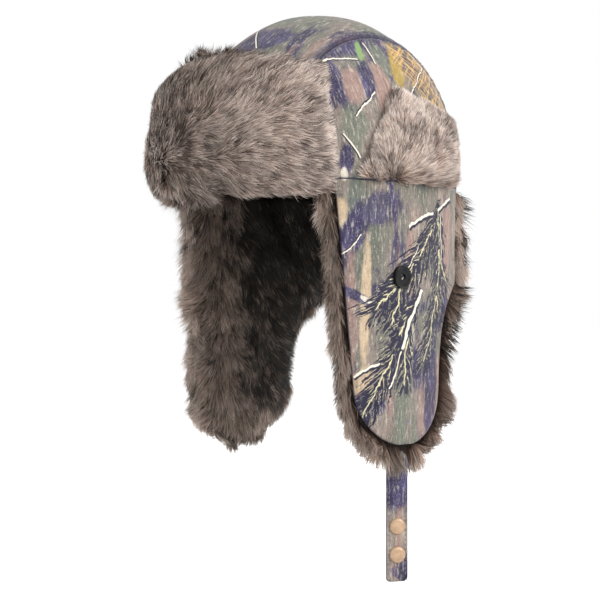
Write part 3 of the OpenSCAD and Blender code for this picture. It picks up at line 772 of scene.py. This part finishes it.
def buildLining():
    f, s = grid(90, 321)
    t = 2 * math.pi * s
    low = liningLow.z
    off = layers["lining"]
    r = lean(-halfLength * np.cos(t), low, off) * np.cos(math.pi / 2 * f * 0.999)
    x = r * (halfWidth + off) * np.sin(t)
    y = -r * (halfLength + off) * np.cos(t)
    outer = np.stack([x, y, domeZ(x, y, off)], -1)
    towards = -outer - np.array([0, 0, 0.02])
    normals = gridNormals(outer, towards)
    span = quilt["diamond"]
    height = outer[..., 2]
    steep = ease((height - quilt["turnFrom"]) / quilt["turnOver"])
    across = mix(np.arctan2(x, y) * halfWidth, x, steep)
    up = mix(height, y, steep)
    ridge = np.abs(np.sin((across + up) * math.pi / span) * np.sin((across - up) * math.pi / span))
    depth = (quilt["thick"] - quilt["puff"]) + quilt["puff"] * ridge ** quilt["line"]
    face = outer + normals * depth[..., None]
    obj = closedLayer("quilted_lining", face, outer, {"print": np.stack([across, up], -1)})
    weld(paint(obj, liningFabric))
    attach(obj, "hat")
    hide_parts("crown_lining")


tapeStitch = {"pitch": 3.2 * mm, "length": 2.1 * mm, "radius": 0.22 * mm}


def buildTape(name, node, low, high, outerOff, thick, wave):
    z = np.linspace(low, high, 14)
    ring = hemRing(outerOff, z, 241)
    normals = gridNormals(ring, -ring * np.array([1, 1, 0]))
    ripple = wave * lumps(ring, 22 * mm, 31) * 0.5
    face = ring + normals * (thick + ripple)[..., None]
    s = runLength(ring, 1)
    obj = closedLayer(name, face, ring + normals * ripple[..., None] * 0.5,
                      {"print": np.stack([s, ring[..., 2]], -1)})
    weld(paint(obj, blackTape))
    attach(obj, "hat")
    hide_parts(node)
    for k, row in enumerate((1, 12)):
        stitchRow(f"{name}_stitching_{k + 1}", face[row, 2:-2], normals[row, 2:-2], tapeStitch, "hat",
                  printThread)


buildLining()
buildTape("sweatband_tape", "sweatband", bandLow.z, bandHigh.z, layers["sweatband"], layers["tape"],
          0.25 * mm)
buildTape("hem_tape", "hem_binding", bindingLow.z, bindingHigh.z, bindingHigh.y - halfLength, layers["tape"],
          0.1 * mm)
print("lining fitted")


# Samples of several grids at scattered places, by blending the four nearest points
def scatter(grids, count, gen, weight=None):
    points = grids[0]
    cols = points.shape[1]
    first = points[:-1, :-1]
    cell = np.linalg.norm(np.cross(points[1:, :-1] - first, points[:-1, 1:] - first), axis=-1)
    if weight is not None:
        cell = cell * weight[:-1, :-1]
    share = cell.ravel() / cell.sum()
    pick = gen.choice(len(share), size=count, p=share)
    i, j = pick // (cols - 1), pick % (cols - 1)
    fi, fj = gen.random(count), gen.random(count)
    found = []
    for values in grids:
        near = mix(values[i, j].T, values[i + 1, j].T, fi)
        far = mix(values[i, j + 1].T, values[i + 1, j + 1].T, fi)
        found.append(mix(near, far, fj).T)
    return found


# A hair: where its rings lie from root to tip, how wide it is at each, and how its path runs along the nap.
# The flattest and steepest lift are sines of the angle it leaves the skin at
hair = {"rings": np.array([0.0, 0.42, 0.76, 1.0]), "taper": np.array([0.75, 1.0, 0.7]), "runStart": 0.35,
        "runOn": 0.75, "liftSpread": 0.10, "strayLift": 0.2, "straySwing": 2.2, "strayWidth": 0.7,
        "thinnest": 0.6, "thickest": 1.15, "lockWander": 9 * mm, "napFlatten": 0.85, "shortBias": 0.7,
        "flattest": 0.08, "steepest": 0.98, "leastPull": 0.4, "soften": 0.5, "softenSpread": 0.35}
hashPrimes = np.array([73856093, 19349663, 83492791])


# Hairs over a patch of skin: tapering blades that leave it, bend over along the nap and gather in locks
def growFur(name, points, normals, nap, length, count, look, tone, seed, shade=None):
    gen = np.random.default_rng(seed)
    root, normal, flow, reach = scatter([points, normals, nap, length], count, gen)
    normal = unit(normal)
    flow = unit(flow - normal * ((flow * normal).sum(-1, keepdims=True) * hair["napFlatten"]))
    across = unit(np.cross(normal, flow))
    reach = reach * gen.uniform(look["shortest"], 1.0, count) ** hair["shortBias"]
    stray = gen.random(count) < look["strays"]
    swing = gen.normal(0, look["spread"], count) * np.where(stray, hair["straySwing"], 1)
    swing = swing + lumps(root, look["lockSize"], seed + 5) * look["lockTurn"]
    heading = unit(flow * np.cos(swing)[:, None] + across * np.sin(swing)[:, None])
    lift = look["lift"] + gen.normal(0, hair["liftSpread"], count) + stray * hair["strayLift"]
    lift = lift + hair["liftSpread"] * lumps(root, look["lockSize"], seed + 6)
    lift = np.clip(lift, hair["flattest"], hair["steepest"])
    flat = np.sqrt(1 - lift ** 2)
    steps = hair["rings"]
    path = np.empty((count, 4, 3))
    for k, s in enumerate(steps):
        rise = lift * (s - look["bend"] * s * s)
        run = flat * (hair["runStart"] * s + hair["runOn"] * s * s)
        path[:, k] = root + (normal * rise[:, None] + heading * run[:, None]) * reach[:, None]
    path[:, :, 2] -= look["droop"] * reach[:, None] * steps ** 2
    wander = np.stack([lumps(root, hair["lockWander"], seed + 20 + c) for c in range(3)], -1)
    wander = wander * look["lockPitch"] * 0.5
    key = np.floor((root + wander) / look["lockPitch"]).astype(np.int64)
    code = (key * hashPrimes).sum(-1)
    group = np.unique(code, return_inverse=True)[1].ravel()
    members = np.bincount(group)
    for k in (2, 3):
        middle = np.stack([np.bincount(group, path[:, k, c]) / members for c in range(3)], -1)
        pull = look["lock"] * steps[k] ** 2 * gen.uniform(hair["leastPull"], 1.0, count)
        path[:, k] = mix(path[:, k], middle[group], pull[:, None])
    chord = unit(path[:, 3] - path[:, 0])
    facing = unit(normal - chord * (normal * chord).sum(-1, keepdims=True))
    twist = gen.uniform(-1.0, 1.0, count)[:, None]
    blade = np.cross(chord, facing) * np.cos(twist) + facing * np.sin(twist)
    width = look["width"] * gen.uniform(hair["thinnest"], hair["thickest"], count)
    width = width * np.where(stray, hair["strayWidth"], 1)
    half = blade[:, None] * (width[:, None] * hair["taper"] / 2)[..., None]
    verts = np.concatenate([path[:, :3] - half, path[:, :3] + half, path[:, 3:]], 1)
    first = np.arange(count)[:, None] * 7
    quads = np.stack([first + np.array([k, k + 3, k + 4, k + 1]) for k in (0, 1)], 1)
    tris = first + np.array([2, 5, 6])
    wrong = (np.cross(verts[:, 3] - verts[:, 0], verts[:, 4] - verts[:, 0]) * facing).sum(-1) < 0
    quads[wrong] = quads[wrong][:, :, ::-1]
    tris[wrong] = tris[wrong][:, ::-1]
    obj = bulkMesh(name, verts.reshape(-1, 3), quads.reshape(-1, 4), tris)
    hue = tone["middle"] + tone["patch"] * lumps(root, tone["patchSize"], seed + 2)
    hue = hue + gen.normal(0, tone["hair"], count) + gen.normal(0, tone["lock"], len(members))[group]
    if shade is not None:
        hue = hue - shade(root)
    uv = np.empty((count, 7, 2))
    uv[:, :, 0] = np.clip(hue, 0.02, 0.98)[:, None]
    uv[:, :, 1] = np.concatenate([steps[:3], steps[:3], [1.0]]) * 0.96 + 0.02
    setMap(obj, "strand", uv.reshape(-1, 2))
    setMap(obj, "OFBake", uv.reshape(-1, 2))
    spread = hair["softenSpread"]
    soft = unit(mix(facing, normal, hair["soften"]) + blade * gen.uniform(-spread, spread, count)[:, None])
    obj.data.normals_split_custom_set_from_vertices(np.repeat(soft, 7, 0).tolist())
    return obj


# How a pile of hairs lies, and how its colour varies from patch to patch, hair to hair and lock to lock
pileLook = {"lift": 0.46, "bend": 0.40, "droop": 0.04, "spread": 0.20, "strays": 0.09, "shortest": 0.45,
            "lock": 0.60, "lockPitch": 2.5 * mm, "lockSize": 20 * mm, "lockTurn": 0.28, "width": 0.50 * mm}
pileTone = {"middle": 0.52, "patch": 0.14, "patchSize": 22 * mm, "hair": 0.18, "lock": 0.26}


# The skin under the hairs, thick as the pile and lumpy, between two grids
def furSkinPiece(name, face, back, node, material):
    uv = np.stack(grid(*face.shape[:2]), -1)
    obj = paint(closedLayer(name, face, back, {"print": uv}), material)
    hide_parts(node)
    return obj


# The rim of a pile: down one side of its grids, along the far end and up the other side
def rimStrip(grids, towards):
    def around(values):
        return np.concatenate([values[:-1, 0], values[-1, :-1], values[::-1, -1]])

    strip = np.stack([around(values) for values in grids], 1)
    middle = strip.mean(1)
    ahead = unit(np.gradient(middle, axis=0))
    out = unit(np.cross(ahead, around(towards)))
    inward = around(grids[0]).mean(0) - middle
    out = out * np.sign((out * -inward).sum(-1, keepdims=True).mean())
    return strip, np.repeat(out[:, None], strip.shape[1], 1)


thinPile = 0.6 * mm  # what is left of a pile's skin at its rim


def endSpaced(count):
    return (1 - np.cos(math.pi * np.linspace(0, 1, count))) / 2


# Visor: a stiff flap of cloth turned up against the crown, faced with fur
visor = {"baseHeight": 132 * mm, "power": 2.6, "middleHeight": 78 * mm, "endHeight": 72 * mm, "endY": 60 * mm,
         "pile": 15.5 * mm, "low": -5 * mm, "short": -3 * mm, "furShare": 0.965, "sag": 0.06,
         "hair": 13.5 * mm, "hairs": 36000, "napAside": -26 * mm, "napFrom": 18 * mm, "napAcross": 75 * mm,
         "napUp": 26 * mm, "napDown": 36 * mm, "napWander": 0.26, "rimLength": 0.25, "clothLow": 0.6 * mm,
         "creaseX": 34 * mm, "creaseZ": 38 * mm, "creaseWidth": 5 * mm, "creaseLean": 0.5,
         "creaseShade": 0.20, "darkX": 45 * mm, "darkReach": 50 * mm, "dark": 0.16}
visorLook = dict(pileLook, width=0.54 * mm, strays=0.12)


def visorPoints(w, v, off, puff, low, extra):
    top = mix(visor["endHeight"], visor["middleHeight"], np.cos(w * math.pi / 2)) + extra
    z = mix(low, top, v)
    r = np.sqrt(1 - (np.clip(z, 0, None) / visor["baseHeight"]) ** visor["power"])
    a = halfLength * r + off + puff
    b = halfWidth * r + off + puff
    t = w * np.arccos(np.clip(visor["endY"] / a, None, 0.99))
    return np.stack([b * np.sin(t), -a * np.cos(t), z], -1)


def pillow(w, v, power=3, share=0.5):
    across = np.clip(1 - np.abs(2 * w - 1) ** power, 0, 1) ** share
    return across * np.clip(1 - np.abs(2 * v - 1) ** power, 0, 1) ** share


def buildVisor():
    i, j = grid(160, 60)
    shellOff = layers["gap"] + layers["cloth"]
    points = visorPoints(2 * i - 1, j, shellOff, 0, visor["clothLow"], 0)
    flat = np.zeros_like(i)
    run = runLength(points, 0)
    maps = {"print": np.stack([run * 0.9 + 0.14, points[..., 2] - 0.03], -1),
            "seam": np.stack([np.minimum(visor["endHeight"] - points[..., 2], 9 * mm), run], -1)}
    obj = cloth("visor_cloth", points, points, flat, maps, ["visor_shell"])[0]
    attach(obj, "hat")

    w, v = np.meshgrid(2 * endSpaced(220) - 1, endSpaced(90), indexing="ij")
    plump = pillow((w + 1) / 2, v)
    w = w * visor["furShare"]
    back = visorPoints(w, v, layers["fur"], 0, visor["low"], visor["short"])
    sag = 1 + visor["sag"] * lumps(back, 45 * mm, 61)
    puff = visor["pile"] * plump * sag + thinPile
    skin = visorPoints(w, v, layers["fur"], puff, visor["low"], visor["short"])
    normals = gridNormals(skin, skin)
    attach(furSkinPiece("visor_fur_skin", skin, back, "visor_fur", topSkin), "hat")
    ahead = unit(np.gradient(skin, axis=0))
    s = w * halfLength - visor["napAside"]
    rise = skin[..., 2] - visor["napFrom"]
    climb = np.where(rise > 0, rise / visor["napUp"], rise / visor["napDown"])
    nap = ahead * (s / visor["napAcross"])[..., None] + np.array([0, 0, 1.0]) * climb[..., None]
    nap = nap + visor["napWander"] * np.stack([lumps(skin, 24 * mm, 70 + c) for c in range(3)], -1)
    rim = 1 - np.clip(plump, 0, 1)
    length = visor["hair"] * (1 + 0.12 * lumps(skin, 40 * mm, 63) + visor["rimLength"] * rim)

    # Painted shade: the fur darkens towards the visor's end at the wearer's right, turned away from the
    # lamps, and along a crease in the pile
    def shade(root):
        darker = ease((visor["darkX"] - root[:, 0]) / visor["darkReach"])
        above = root[:, 2] - visor["creaseZ"]
        crease = (root[:, 0] - visor["creaseX"] - visor["creaseLean"] * above) / visor["creaseWidth"]
        crease = np.exp(-crease ** 2) * ease(above / (12 * mm))
        return visor["dark"] * darker + visor["creaseShade"] * crease

    for part, rows in (("right", slice(0, 111)), ("left", slice(109, 220))):
        obj = growFur("visor_hair_" + part, skin[rows], normals[rows], nap[rows], length[rows],
                      visor["hairs"], visorLook, pileTone, 100 + len(part), shade)
        paint(obj, topHair)
        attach(obj, "hat")


# Side cuffs: a pad of fur sewn at the hem and tacked up over each ear
cuff = {"frontLow": -40 * mm, "backLow": 46 * mm, "frontHigh": -10 * mm, "backHigh": 52 * mm,
        "frontHeight": 58 * mm, "backHeight": 44 * mm, "clothInset": 0.09, "furInset": 0.03,
        "thick": 1.1 * mm, "low": 0.6 * mm, "pile": 9 * mm, "hair": 13 * mm, "hairs": 30000,
        "napY": -20 * mm, "napZ": -12 * mm, "darkY": 24 * mm, "darkZ": 30 * mm}


def cuffPoints(w, v, off, puff, inset=0.0):
    w = mix(inset, 1 - inset, w)
    v = mix(inset * 0.5, 1 - inset, v)
    y = mix(mix(cuff["frontLow"], cuff["backLow"], w), mix(cuff["frontHigh"], cuff["backHigh"], w), v)
    z = mix(cuff["low"], mix(cuff["frontHeight"], cuff["backHeight"], w), v)
    return np.stack([domeX(y, z, off) + puff, y, z], -1)


def buildCuff(side, sideName):
    flip = np.array([side, 1, 1])
    i, j = grid(60, 50)
    points = cuffPoints(i, j, layers["gap"] + layers["tape"], 0, cuff["clothInset"]) * flip
    maps = {"print": points[..., 1:], "seam": points[..., 1:] + 1}
    normals = gridNormals(points, points)
    obj = closedLayer("cuff_cloth_" + sideName, points, points - normals * cuff["thick"], maps)
    paint(obj, blackTape)
    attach(obj, "hat")
    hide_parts("cuff_backing_" + sideName)

    w, v = np.meshgrid(endSpaced(110), endSpaced(90), indexing="ij")
    back = cuffPoints(w, v, layers["fur"], 0, cuff["furInset"]) * flip
    plump = pillow(w, v, 3, 0.55) * (1 + 0.12 * lumps(back, 30 * mm, 81 + side))
    skin = cuffPoints(w, v, layers["fur"], cuff["pile"] * plump + thinPile, cuff["furInset"]) * flip
    normals = gridNormals(skin, skin)
    obj = furSkinPiece("cuff_fur_skin_" + sideName, skin, back, "cuff_fur_" + sideName, topSkin)
    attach(obj, "hat")
    out = np.stack([0 * w, skin[..., 1] - cuff["napY"], skin[..., 2] - cuff["napZ"]], -1) / (25 * mm)
    nap = out + 0.22 * np.stack([lumps(skin, 22 * mm, 90 + c) for c in range(3)], -1)
    length = cuff["hair"] * (1 + 0.10 * lumps(skin, 30 * mm, 83)) + 0 * w

    def shade(root):
        aside = (root[:, 1] - cuff["darkY"]) / (11 * mm)
        above = (root[:, 2] - cuff["darkZ"]) / (12 * mm)
        return 0.34 * np.exp(-aside ** 2 - above ** 2)

    obj = growFur("cuff_hair_" + sideName, skin, normals, nap, length, cuff["hairs"], pileLook,
                  dict(pileTone, middle=0.66), 120 + side, shade)
    paint(obj, topHair)
    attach(obj, "hat")


buildVisor()
for side, sideName in ((1, "left"), (-1, "right")):
    buildCuff(side, sideName)
print("visor and cuffs furred")


# Ear flaps: cloth outside, fur inside that spills round the edges
flap = {"frontSlant": 15 * mm, "backY": 33 * mm, "backBlend": 18 * mm, "round": 35 * mm, "middle": -3.5 * mm,
        "fringe": 1 * mm, "pile": 9 * mm, "hair": 13 * mm, "edgeHair": 21 * mm, "hairs": 38000,
        "edgeHairs": 14000, "wave": 1.2 * mm, "waveSize": 60 * mm, "waveFree": 20 * mm,
        "turn": 0.7 * mm, "hem": 1.5 * mm, "foldFrom": -0.5 * mm, "foldTo": -24 * mm}
flapTone = dict(pileTone, middle=0.64, patch=0.14)
flapLook = dict(pileLook, lift=0.52, spread=0.24, strays=0.10, lockPitch=3.0 * mm)
edgeTone = dict(pileTone, middle=0.76, patch=0.12)
edgeLook = dict(pileLook, lift=0.45, spread=0.30, strays=0.12, lockPitch=3.4 * mm)


def flapPlan(w, v, fringe):
    length = flapDepth + fringe
    depth = mix(0.3 * mm, length - 0.5 * mm, 1 - (1 - v) ** 1.4)
    wide = splitY - 0.3 * mm
    front = flap["frontSlant"] * depth / length - flapFrontY - fringe
    narrow = flap["backY"] + fringe
    tapered = narrow + (wide - narrow) * np.exp(-(depth - neckDepth) / flap["backBlend"])
    back = np.where(depth < neckDepth, wide, tapered)
    f = np.clip(depth - length + flap["round"], 0, None) / flap["round"]
    keep = np.sqrt(np.clip(1 - f * f, 0, 1))
    y = mix(mix(flap["middle"], front, keep), mix(flap["middle"], back, keep), w)
    return y, -depth


def flapPoints(side, w, v, off, fringe=0.0):
    y, z = flapPlan(w, v, fringe)
    return np.stack([side * wallX(y, off), y, z], -1)


def edgeDistance(points):
    top = runLength(points, 0)
    left = runLength(points, 1)
    return np.minimum(np.minimum(left, left[:, -1:] - left), top[-1:] - top)


# What hangs from the hem: its placement is applied to its mesh
def foldedCloth(obj):
    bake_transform(obj)
    return obj


def furLined(name, node, inner, back, normals, nap, length, count, seed, shade):
    foldedCloth(furSkinPiece(name + "_skin", inner, back, node, shadedInnerSkin))
    obj = growFur(name + "_hair", inner, normals, nap, length, count, flapLook, flapTone, seed, shade)
    foldedCloth(paint(obj, shadedInnerHair))


# Longer pale hairs that leave the rim outward and down, past the cloth's edge
def edgeFur(name, grids, towards, sizes, seed):
    strip, out = rimStrip(grids, towards)
    nap = out * 0.7 + np.array([0, 0, -0.8])
    nap = nap + 0.25 * np.stack([lumps(strip, 20 * mm, seed + c) for c in range(3)], -1)
    length = np.full(strip.shape[:2] + (1,), 1.0) * sizes["edgeHair"]
    obj = growFur(name, strip, out, nap, length[..., 0], sizes["edgeHairs"], edgeLook, edgeTone, seed)
    foldedCloth(paint(obj, shadedInnerHair))


def buildFlap(side, sideName, shift):
    j, i = grid(220, 110)
    points = flapPoints(side, i, j, 0)
    edge = edgeDistance(points)
    hang = flap["wave"] * lumps(points * np.array([1, 1, 0.45]), flap["waveSize"], 40 + side)
    relief = hang * ease(edge / flap["waveFree"]) * ease(-points[..., 2] / flap["waveFree"])
    relief = relief - flap["turn"] * np.exp(-(edge / flap["hem"]) ** 2)
    maps = {"print": np.stack([points[..., 1] * side + shift[0], points[..., 2] + shift[1]], -1),
            "seam": np.stack([edge * 2, points[..., 2]], -1)}
    name = "ear_flap_cloth_" + sideName
    obj = cloth(name, points, points * [1, 1, 0], relief, maps, ["ear_flap_shell_" + sideName])[0]
    foldedCloth(obj)

    v, w = np.meshgrid(np.linspace(0, 1, 180) ** 0.8, endSpaced(120), indexing="ij")
    back = flapPoints(side, w, v, layers["flapFur"], flap["fringe"])
    rim = np.clip(1 - np.abs(2 * w - 1) ** 6, 0, 1) ** 0.45 * np.clip(1 - v ** 14, 0, 1) ** 0.5
    y, z = flapPlan(w, v, flap["fringe"])
    plump = flap["pile"] * rim * (1 + 0.10 * lumps(back, 30 * mm, 45 + side)) + thinPile
    inner = np.stack([side * wallX(y, layers["flapFur"] - plump), y, z], -1)
    normals = gridNormals(inner, -inner * [1, 0, 0])
    q = 2 * w - 1
    outer = np.abs(q) ** 3
    spill = np.where(q < 0, -1.3 * outer, 1.3 * outer) + 0.4 * (1 - outer)
    nap = np.stack([side * 0.6 * outer, spill, -1 + 0 * w], -1)
    nap = nap + 0.18 * np.stack([lumps(inner, 28 * mm, 50 + c + side) for c in range(3)], -1)
    low = ease((v - 0.80) / 0.2)
    length = mix(flap["hair"], flap["edgeHair"], np.maximum(outer ** 2, low))

    # Painted shadow: the fur inside the flap darkens towards the back and the top, under the hat, and stays
    # light near the front and bottom edges
    def shade(root):
        low = ease((0.94 - np.abs(root[:, 2]) / flapDepth) / 0.14)
        ahead = ease((flapFrontY - 14 * mm + root[:, 1]) / (16 * mm))
        deep = 0.75 * ease((root[:, 1] + 22 * mm) / (26 * mm))
        deep = deep + 0.25 * ease((root[:, 2] + 80 * mm) / (50 * mm))
        return deep * low * ahead

    name = "ear_flap_fur_" + sideName
    furLined(name, name, inner, back, normals, nap, length, flap["hairs"], 140 + side, shade)
    edgeFur(name + "_edge", [back, inner], inner * [1, 0, 0] * -1, flap, 150 + side)


# The neck flap goes round the back between the two ear flaps
neck = {"fringe": 1 * mm, "pile": 9 * mm, "hair": 13 * mm, "edgeHair": 19 * mm, "hairs": 34000,
        "edgeHairs": 9000, "wave": 1.1 * mm, "waveSize": 50 * mm, "waveFree": 18 * mm}


def neckPoints(w, v, off, puff, fringe):
    a = halfLength + off - puff
    b = halfWidth + off - puff
    start = np.arccos(np.clip(-(splitY + 0.3 * mm) / a, -1, 1))
    t = mix(start, 2 * math.pi - start, w)
    depth = mix(0.3 * mm, neckDepth + fringe, v)
    return np.stack([b * np.sin(t), -a * np.cos(t), -depth], -1)


def buildNeck():
    j, i = grid(80, 150)
    points = neckPoints(i, j, 0, 0, 0)
    edge = edgeDistance(points)
    relief = neck["wave"] * lumps(points * np.array([1, 1, 0.4]), neck["waveSize"], 47)
    relief = relief * ease(edge / neck["waveFree"]) * ease(-points[..., 2] / neck["waveFree"])
    relief = relief - flap["turn"] * np.exp(-(edge / flap["hem"]) ** 2)
    run = runLength(points, 1)
    maps = {"print": np.stack([run - run.max() / 2 + 0.02, points[..., 2] - 0.02], -1),
            "seam": np.stack([edge * 2, run], -1)}
    obj = cloth("neck_flap_cloth", points, points * [1, 1, 0], relief, maps, ["neck_flap_shell"])[0]
    foldedCloth(obj)

    v, w = np.meshgrid(np.linspace(0, 1, 80) ** 0.8, endSpaced(150), indexing="ij")
    back = neckPoints(w, v, layers["flapFur"], 0, neck["fringe"])
    rim = np.clip(1 - np.abs(2 * w - 1) ** 10, 0, 1) ** 0.45 * np.clip(1 - v ** 8, 0, 1) ** 0.45
    inner = neckPoints(w, v, layers["flapFur"], neck["pile"] * rim + thinPile, neck["fringe"])
    normals = gridNormals(inner, -inner * [1, 1, 0])
    q = np.abs(2 * w - 1) ** 5 * np.sign(2 * w - 1)
    ahead = unit(np.gradient(inner, axis=1))
    nap = np.array([0, 0, -1.0]) + ahead * (1.2 * q)[..., None]
    nap = nap + np.stack([0 * w, 0.5 * v ** 4, 0 * w], -1) * 0.6
    nap = nap + 0.18 * np.stack([lumps(inner, 28 * mm, 55 + c) for c in range(3)], -1)
    length = mix(neck["hair"], neck["edgeHair"], np.maximum(np.abs(q), ease((v - 0.7) / 0.3)))

    # Painted shadow: the fur inside the neck flap darkens towards the hem, inside the hat
    def shade(root):
        return 0.6 * ease((root[:, 2] + 58 * mm) / (30 * mm))

    furLined("neck_flap_fur", "neck_flap_fur", inner, back, normals, nap, length, neck["hairs"],
             160, shade)
    edgeFur("neck_flap_fur_edge", [back, inner], inner * [-1, -1, 0], neck, 165)


for side, sideName in ((1, "left"), (-1, "right")):
    buildFlap(side, sideName, printShift[sideName])
buildNeck()
print("flaps furred")


# Chin strap: two layers of the cloth, stitched near both edges, sewn into the left flap
strap = {"width": 15 * mm, "thick": 2 * mm, "top": -151 * mm, "turnFrom": -174 * mm, "turnTo": -184 * mm,
         "turn": math.radians(25), "stitchFrom": 1.9 * mm, "groove": 0.22 * mm, "grooveWidth": 0.7 * mm,
         "stitch": {"pitch": 3.1 * mm, "length": 2.2 * mm, "radius": 0.24 * mm}, "corner": 2.5 * mm,
         "bendFrom": -171 * mm, "bendTo": -183 * mm}


def strapAt(z):
    angle = strap["turn"] * ease((strap["turnFrom"] - z) / (strap["turnFrom"] - strap["turnTo"]))
    out = np.stack([np.cos(angle), -np.sin(angle), 0 * z], -1)
    wide = np.stack([np.sin(angle), np.cos(angle), 0 * z], -1)
    axisX = (strapLow.x + strapHigh.x) / 2
    axisY = (strapLow.y + strapHigh.y) / 2
    centre = np.stack([axisX + 0 * z, axisY + 0 * z, z], -1)
    return centre, out, wide


def buildStrap():
    tip = strapLow.z
    z = np.concatenate([np.linspace(strap["top"], tip + 3 * mm, 110), np.linspace(tip + 2.6 * mm, tip, 8)])
    around = np.linspace(0, 2 * math.pi, 49)
    centre, out, wide = strapAt(z)
    half = strap["width"] / 2
    nearTip = ((tip + strap["corner"] - z) / strap["corner"]).clip(0)
    cutCorner = strap["corner"] * (1 - np.sqrt(np.clip(1 - nearTip ** 2, 0, 1)))
    halfWide = (half - cutCorner * 0.8)[:, None]
    s = np.sign(np.cos(around)) * np.abs(np.cos(around)) ** 0.5 * halfWide
    t = np.sign(np.sin(around)) * np.abs(np.sin(around)) ** 0.6 * strap["thick"] / 2
    fromRow = half - np.abs(s) - strap["stitchFrom"]
    groove = strap["groove"] * np.exp(-(fromRow / strap["grooveWidth"]) ** 2)
    t = t - np.sign(t) * groove + 0 * s
    points = centre[:, None] + wide[:, None] * s[..., None] + out[:, None] * t[..., None]
    rows, cols = points.shape[:2]
    verts = points[:, :-1].reshape(-1, 3)
    n = cols - 1
    faces = [[r * n + k, r * n + (k + 1) % n, (r + 1) * n + (k + 1) % n, (r + 1) * n + k]
             for r in range(rows - 1) for k in range(n)]
    faces = faces + [list(range(n))[::-1], [(rows - 1) * n + k for k in range(n)]]
    obj = newMesh("strap_cloth", verts, faces)
    uv = np.stack([s[:, :-1] + 0.072, z[:, None] + 0.21 + 0 * s[:, :-1]], -1).reshape(-1, 2)
    setMap(obj, "print", uv)
    edge = np.minimum(half - np.abs(s[:, :-1]), z[:, None] - tip)
    setMap(obj, "seam", np.stack([edge + 0.6 * mm, z[:, None] + 0 * edge], -1).reshape(-1, 2))
    paint(obj, camoFabric)
    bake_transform(obj)
    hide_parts("chin_strap", "strap_tongue")
    rowZ = np.linspace(strap["turnTo"] - 1 * mm, tip + 2.5 * mm, 60)
    centre, out, wide = strapAt(rowZ)
    for face, faceName in ((1, "outer"), (-1, "inner")):
        for edgeSide, edgeName in ((-1, "front"), (1, "back")):
            across = edgeSide * (half - strap["stitchFrom"])
            line = centre + wide * across + out * face * (strap["thick"] / 2 - strap["groove"])
            stitchRow(f"strap_stitching_{faceName}_{edgeName}", line, out * face, strap["stitch"],
                      "chin_strap", printThread)


buildStrap()
print("strap sewn")

# Snaps, rivets, tacks and label keep their shape and get their finish
cadFinish = {
    "mask_snap_left": blackEnamel, "mask_snap_right": blackEnamel, "mask_snap_rivet_left": blackEnamel,
    "mask_snap_rivet_right": blackEnamel, "strap_snap_caps": tanEnamel, "strap_snap_sockets": tanEnamel,
    "strap_stud": tanEnamel, "strap_stud_rivet": tanEnamel, "visor_tacks": printThread,
    "strap_bar_tack": printThread, "size_label": labelWeave,
}
for node, material in cadFinish.items():
    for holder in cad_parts[node].material_slots:
        holder.material = material


# Plain pale floor and white surround; soft boxes above and to both sides
studio = {"world": 0.24, "floorGlow": 0.9, "drop": 1 * mm, "floorHalf": 6.0, "middleHeight": -60 * mm}
# Each lamp: its place aside, towards the camera and up, its width and its power
lamps = [("key", (0.85, 0.75, 0.45), 0.8, 15), ("fill", (-0.8, 0.9, 0.2), 0.9, 5),
         ("top", (0.15, 0.2, 1.2), 1.0, 8), ("back", (0.3, -1.1, 0.5), 0.8, 6),
         ("backLeft", (-0.9, -0.8, 0.3), 0.8, 4)]


def buildStudio():
    middle = Vector((0, 0, studio["middleHeight"]))
    for name, (aside, near, up), size, power in lamps:
        data = bpy.data.lights.new(name, "AREA")
        data.shape = "DISK"
        data.size = size
        data.energy = power
        lamp = bpy.data.objects.new(name, data)
        scene.collection.objects.link(lamp)
        lamp.location = middle + camRight * aside + camBack * near + Vector((0, 0, up))
        lamp.rotation_euler = (lamp.location - middle).to_track_quat("Z", "Y").to_euler()
    world = bpy.data.worlds.new("studio")
    scene.world = world
    world.use_nodes = True
    tree = world.node_tree
    path = tree.nodes.new("ShaderNodeLightPath")
    seen = tree.nodes.new("ShaderNodeMath")
    seen.operation = "MAXIMUM"
    tree.links.new(path.outputs["Is Camera Ray"], seen.inputs[0])
    tree.links.new(path.outputs["Is Glossy Ray"], seen.inputs[1])
    power = tree.nodes.new("ShaderNodeMapRange")
    tree.links.new(seen.outputs[0], power.inputs["Value"])
    power.inputs["To Min"].default_value = studio["world"]
    power.inputs["To Max"].default_value = 1.0
    sky = tree.nodes["Background"]
    sky.inputs["Color"].default_value = (1, 1, 1, 1)
    tree.links.new(power.outputs[0], sky.inputs["Strength"])
    half = studio["floorHalf"]
    low = cadBox[0][2] - studio["drop"]
    floor = newMesh("floor", [(-half, -half, low), (half, -half, low), (half, half, low), (-half, half, low)],
                    [(0, 1, 2, 3)])
    f = Finish("floor")
    grain = f.noise(f.place(), 60, 2)
    seenBy = f.add("ShaderNodeLightPath")
    glow = f.calc("MAXIMUM", seenBy.outputs["Is Camera Ray"], seenBy.outputs["Is Glossy Ray"])
    f.shader.inputs["Emission Color"].default_value = (1, 1, 1, 1)
    f.set(Base_Color=f.ramp(grain, [(0.0, "eeeeee"), (1.0, "f4f4f4")]), Roughness=0.9,
          Emission_Strength=f.calc("MULTIPLY", glow, studio["floorGlow"]))
    paint(floor, f.material)


buildStudio()
print("studio lit")
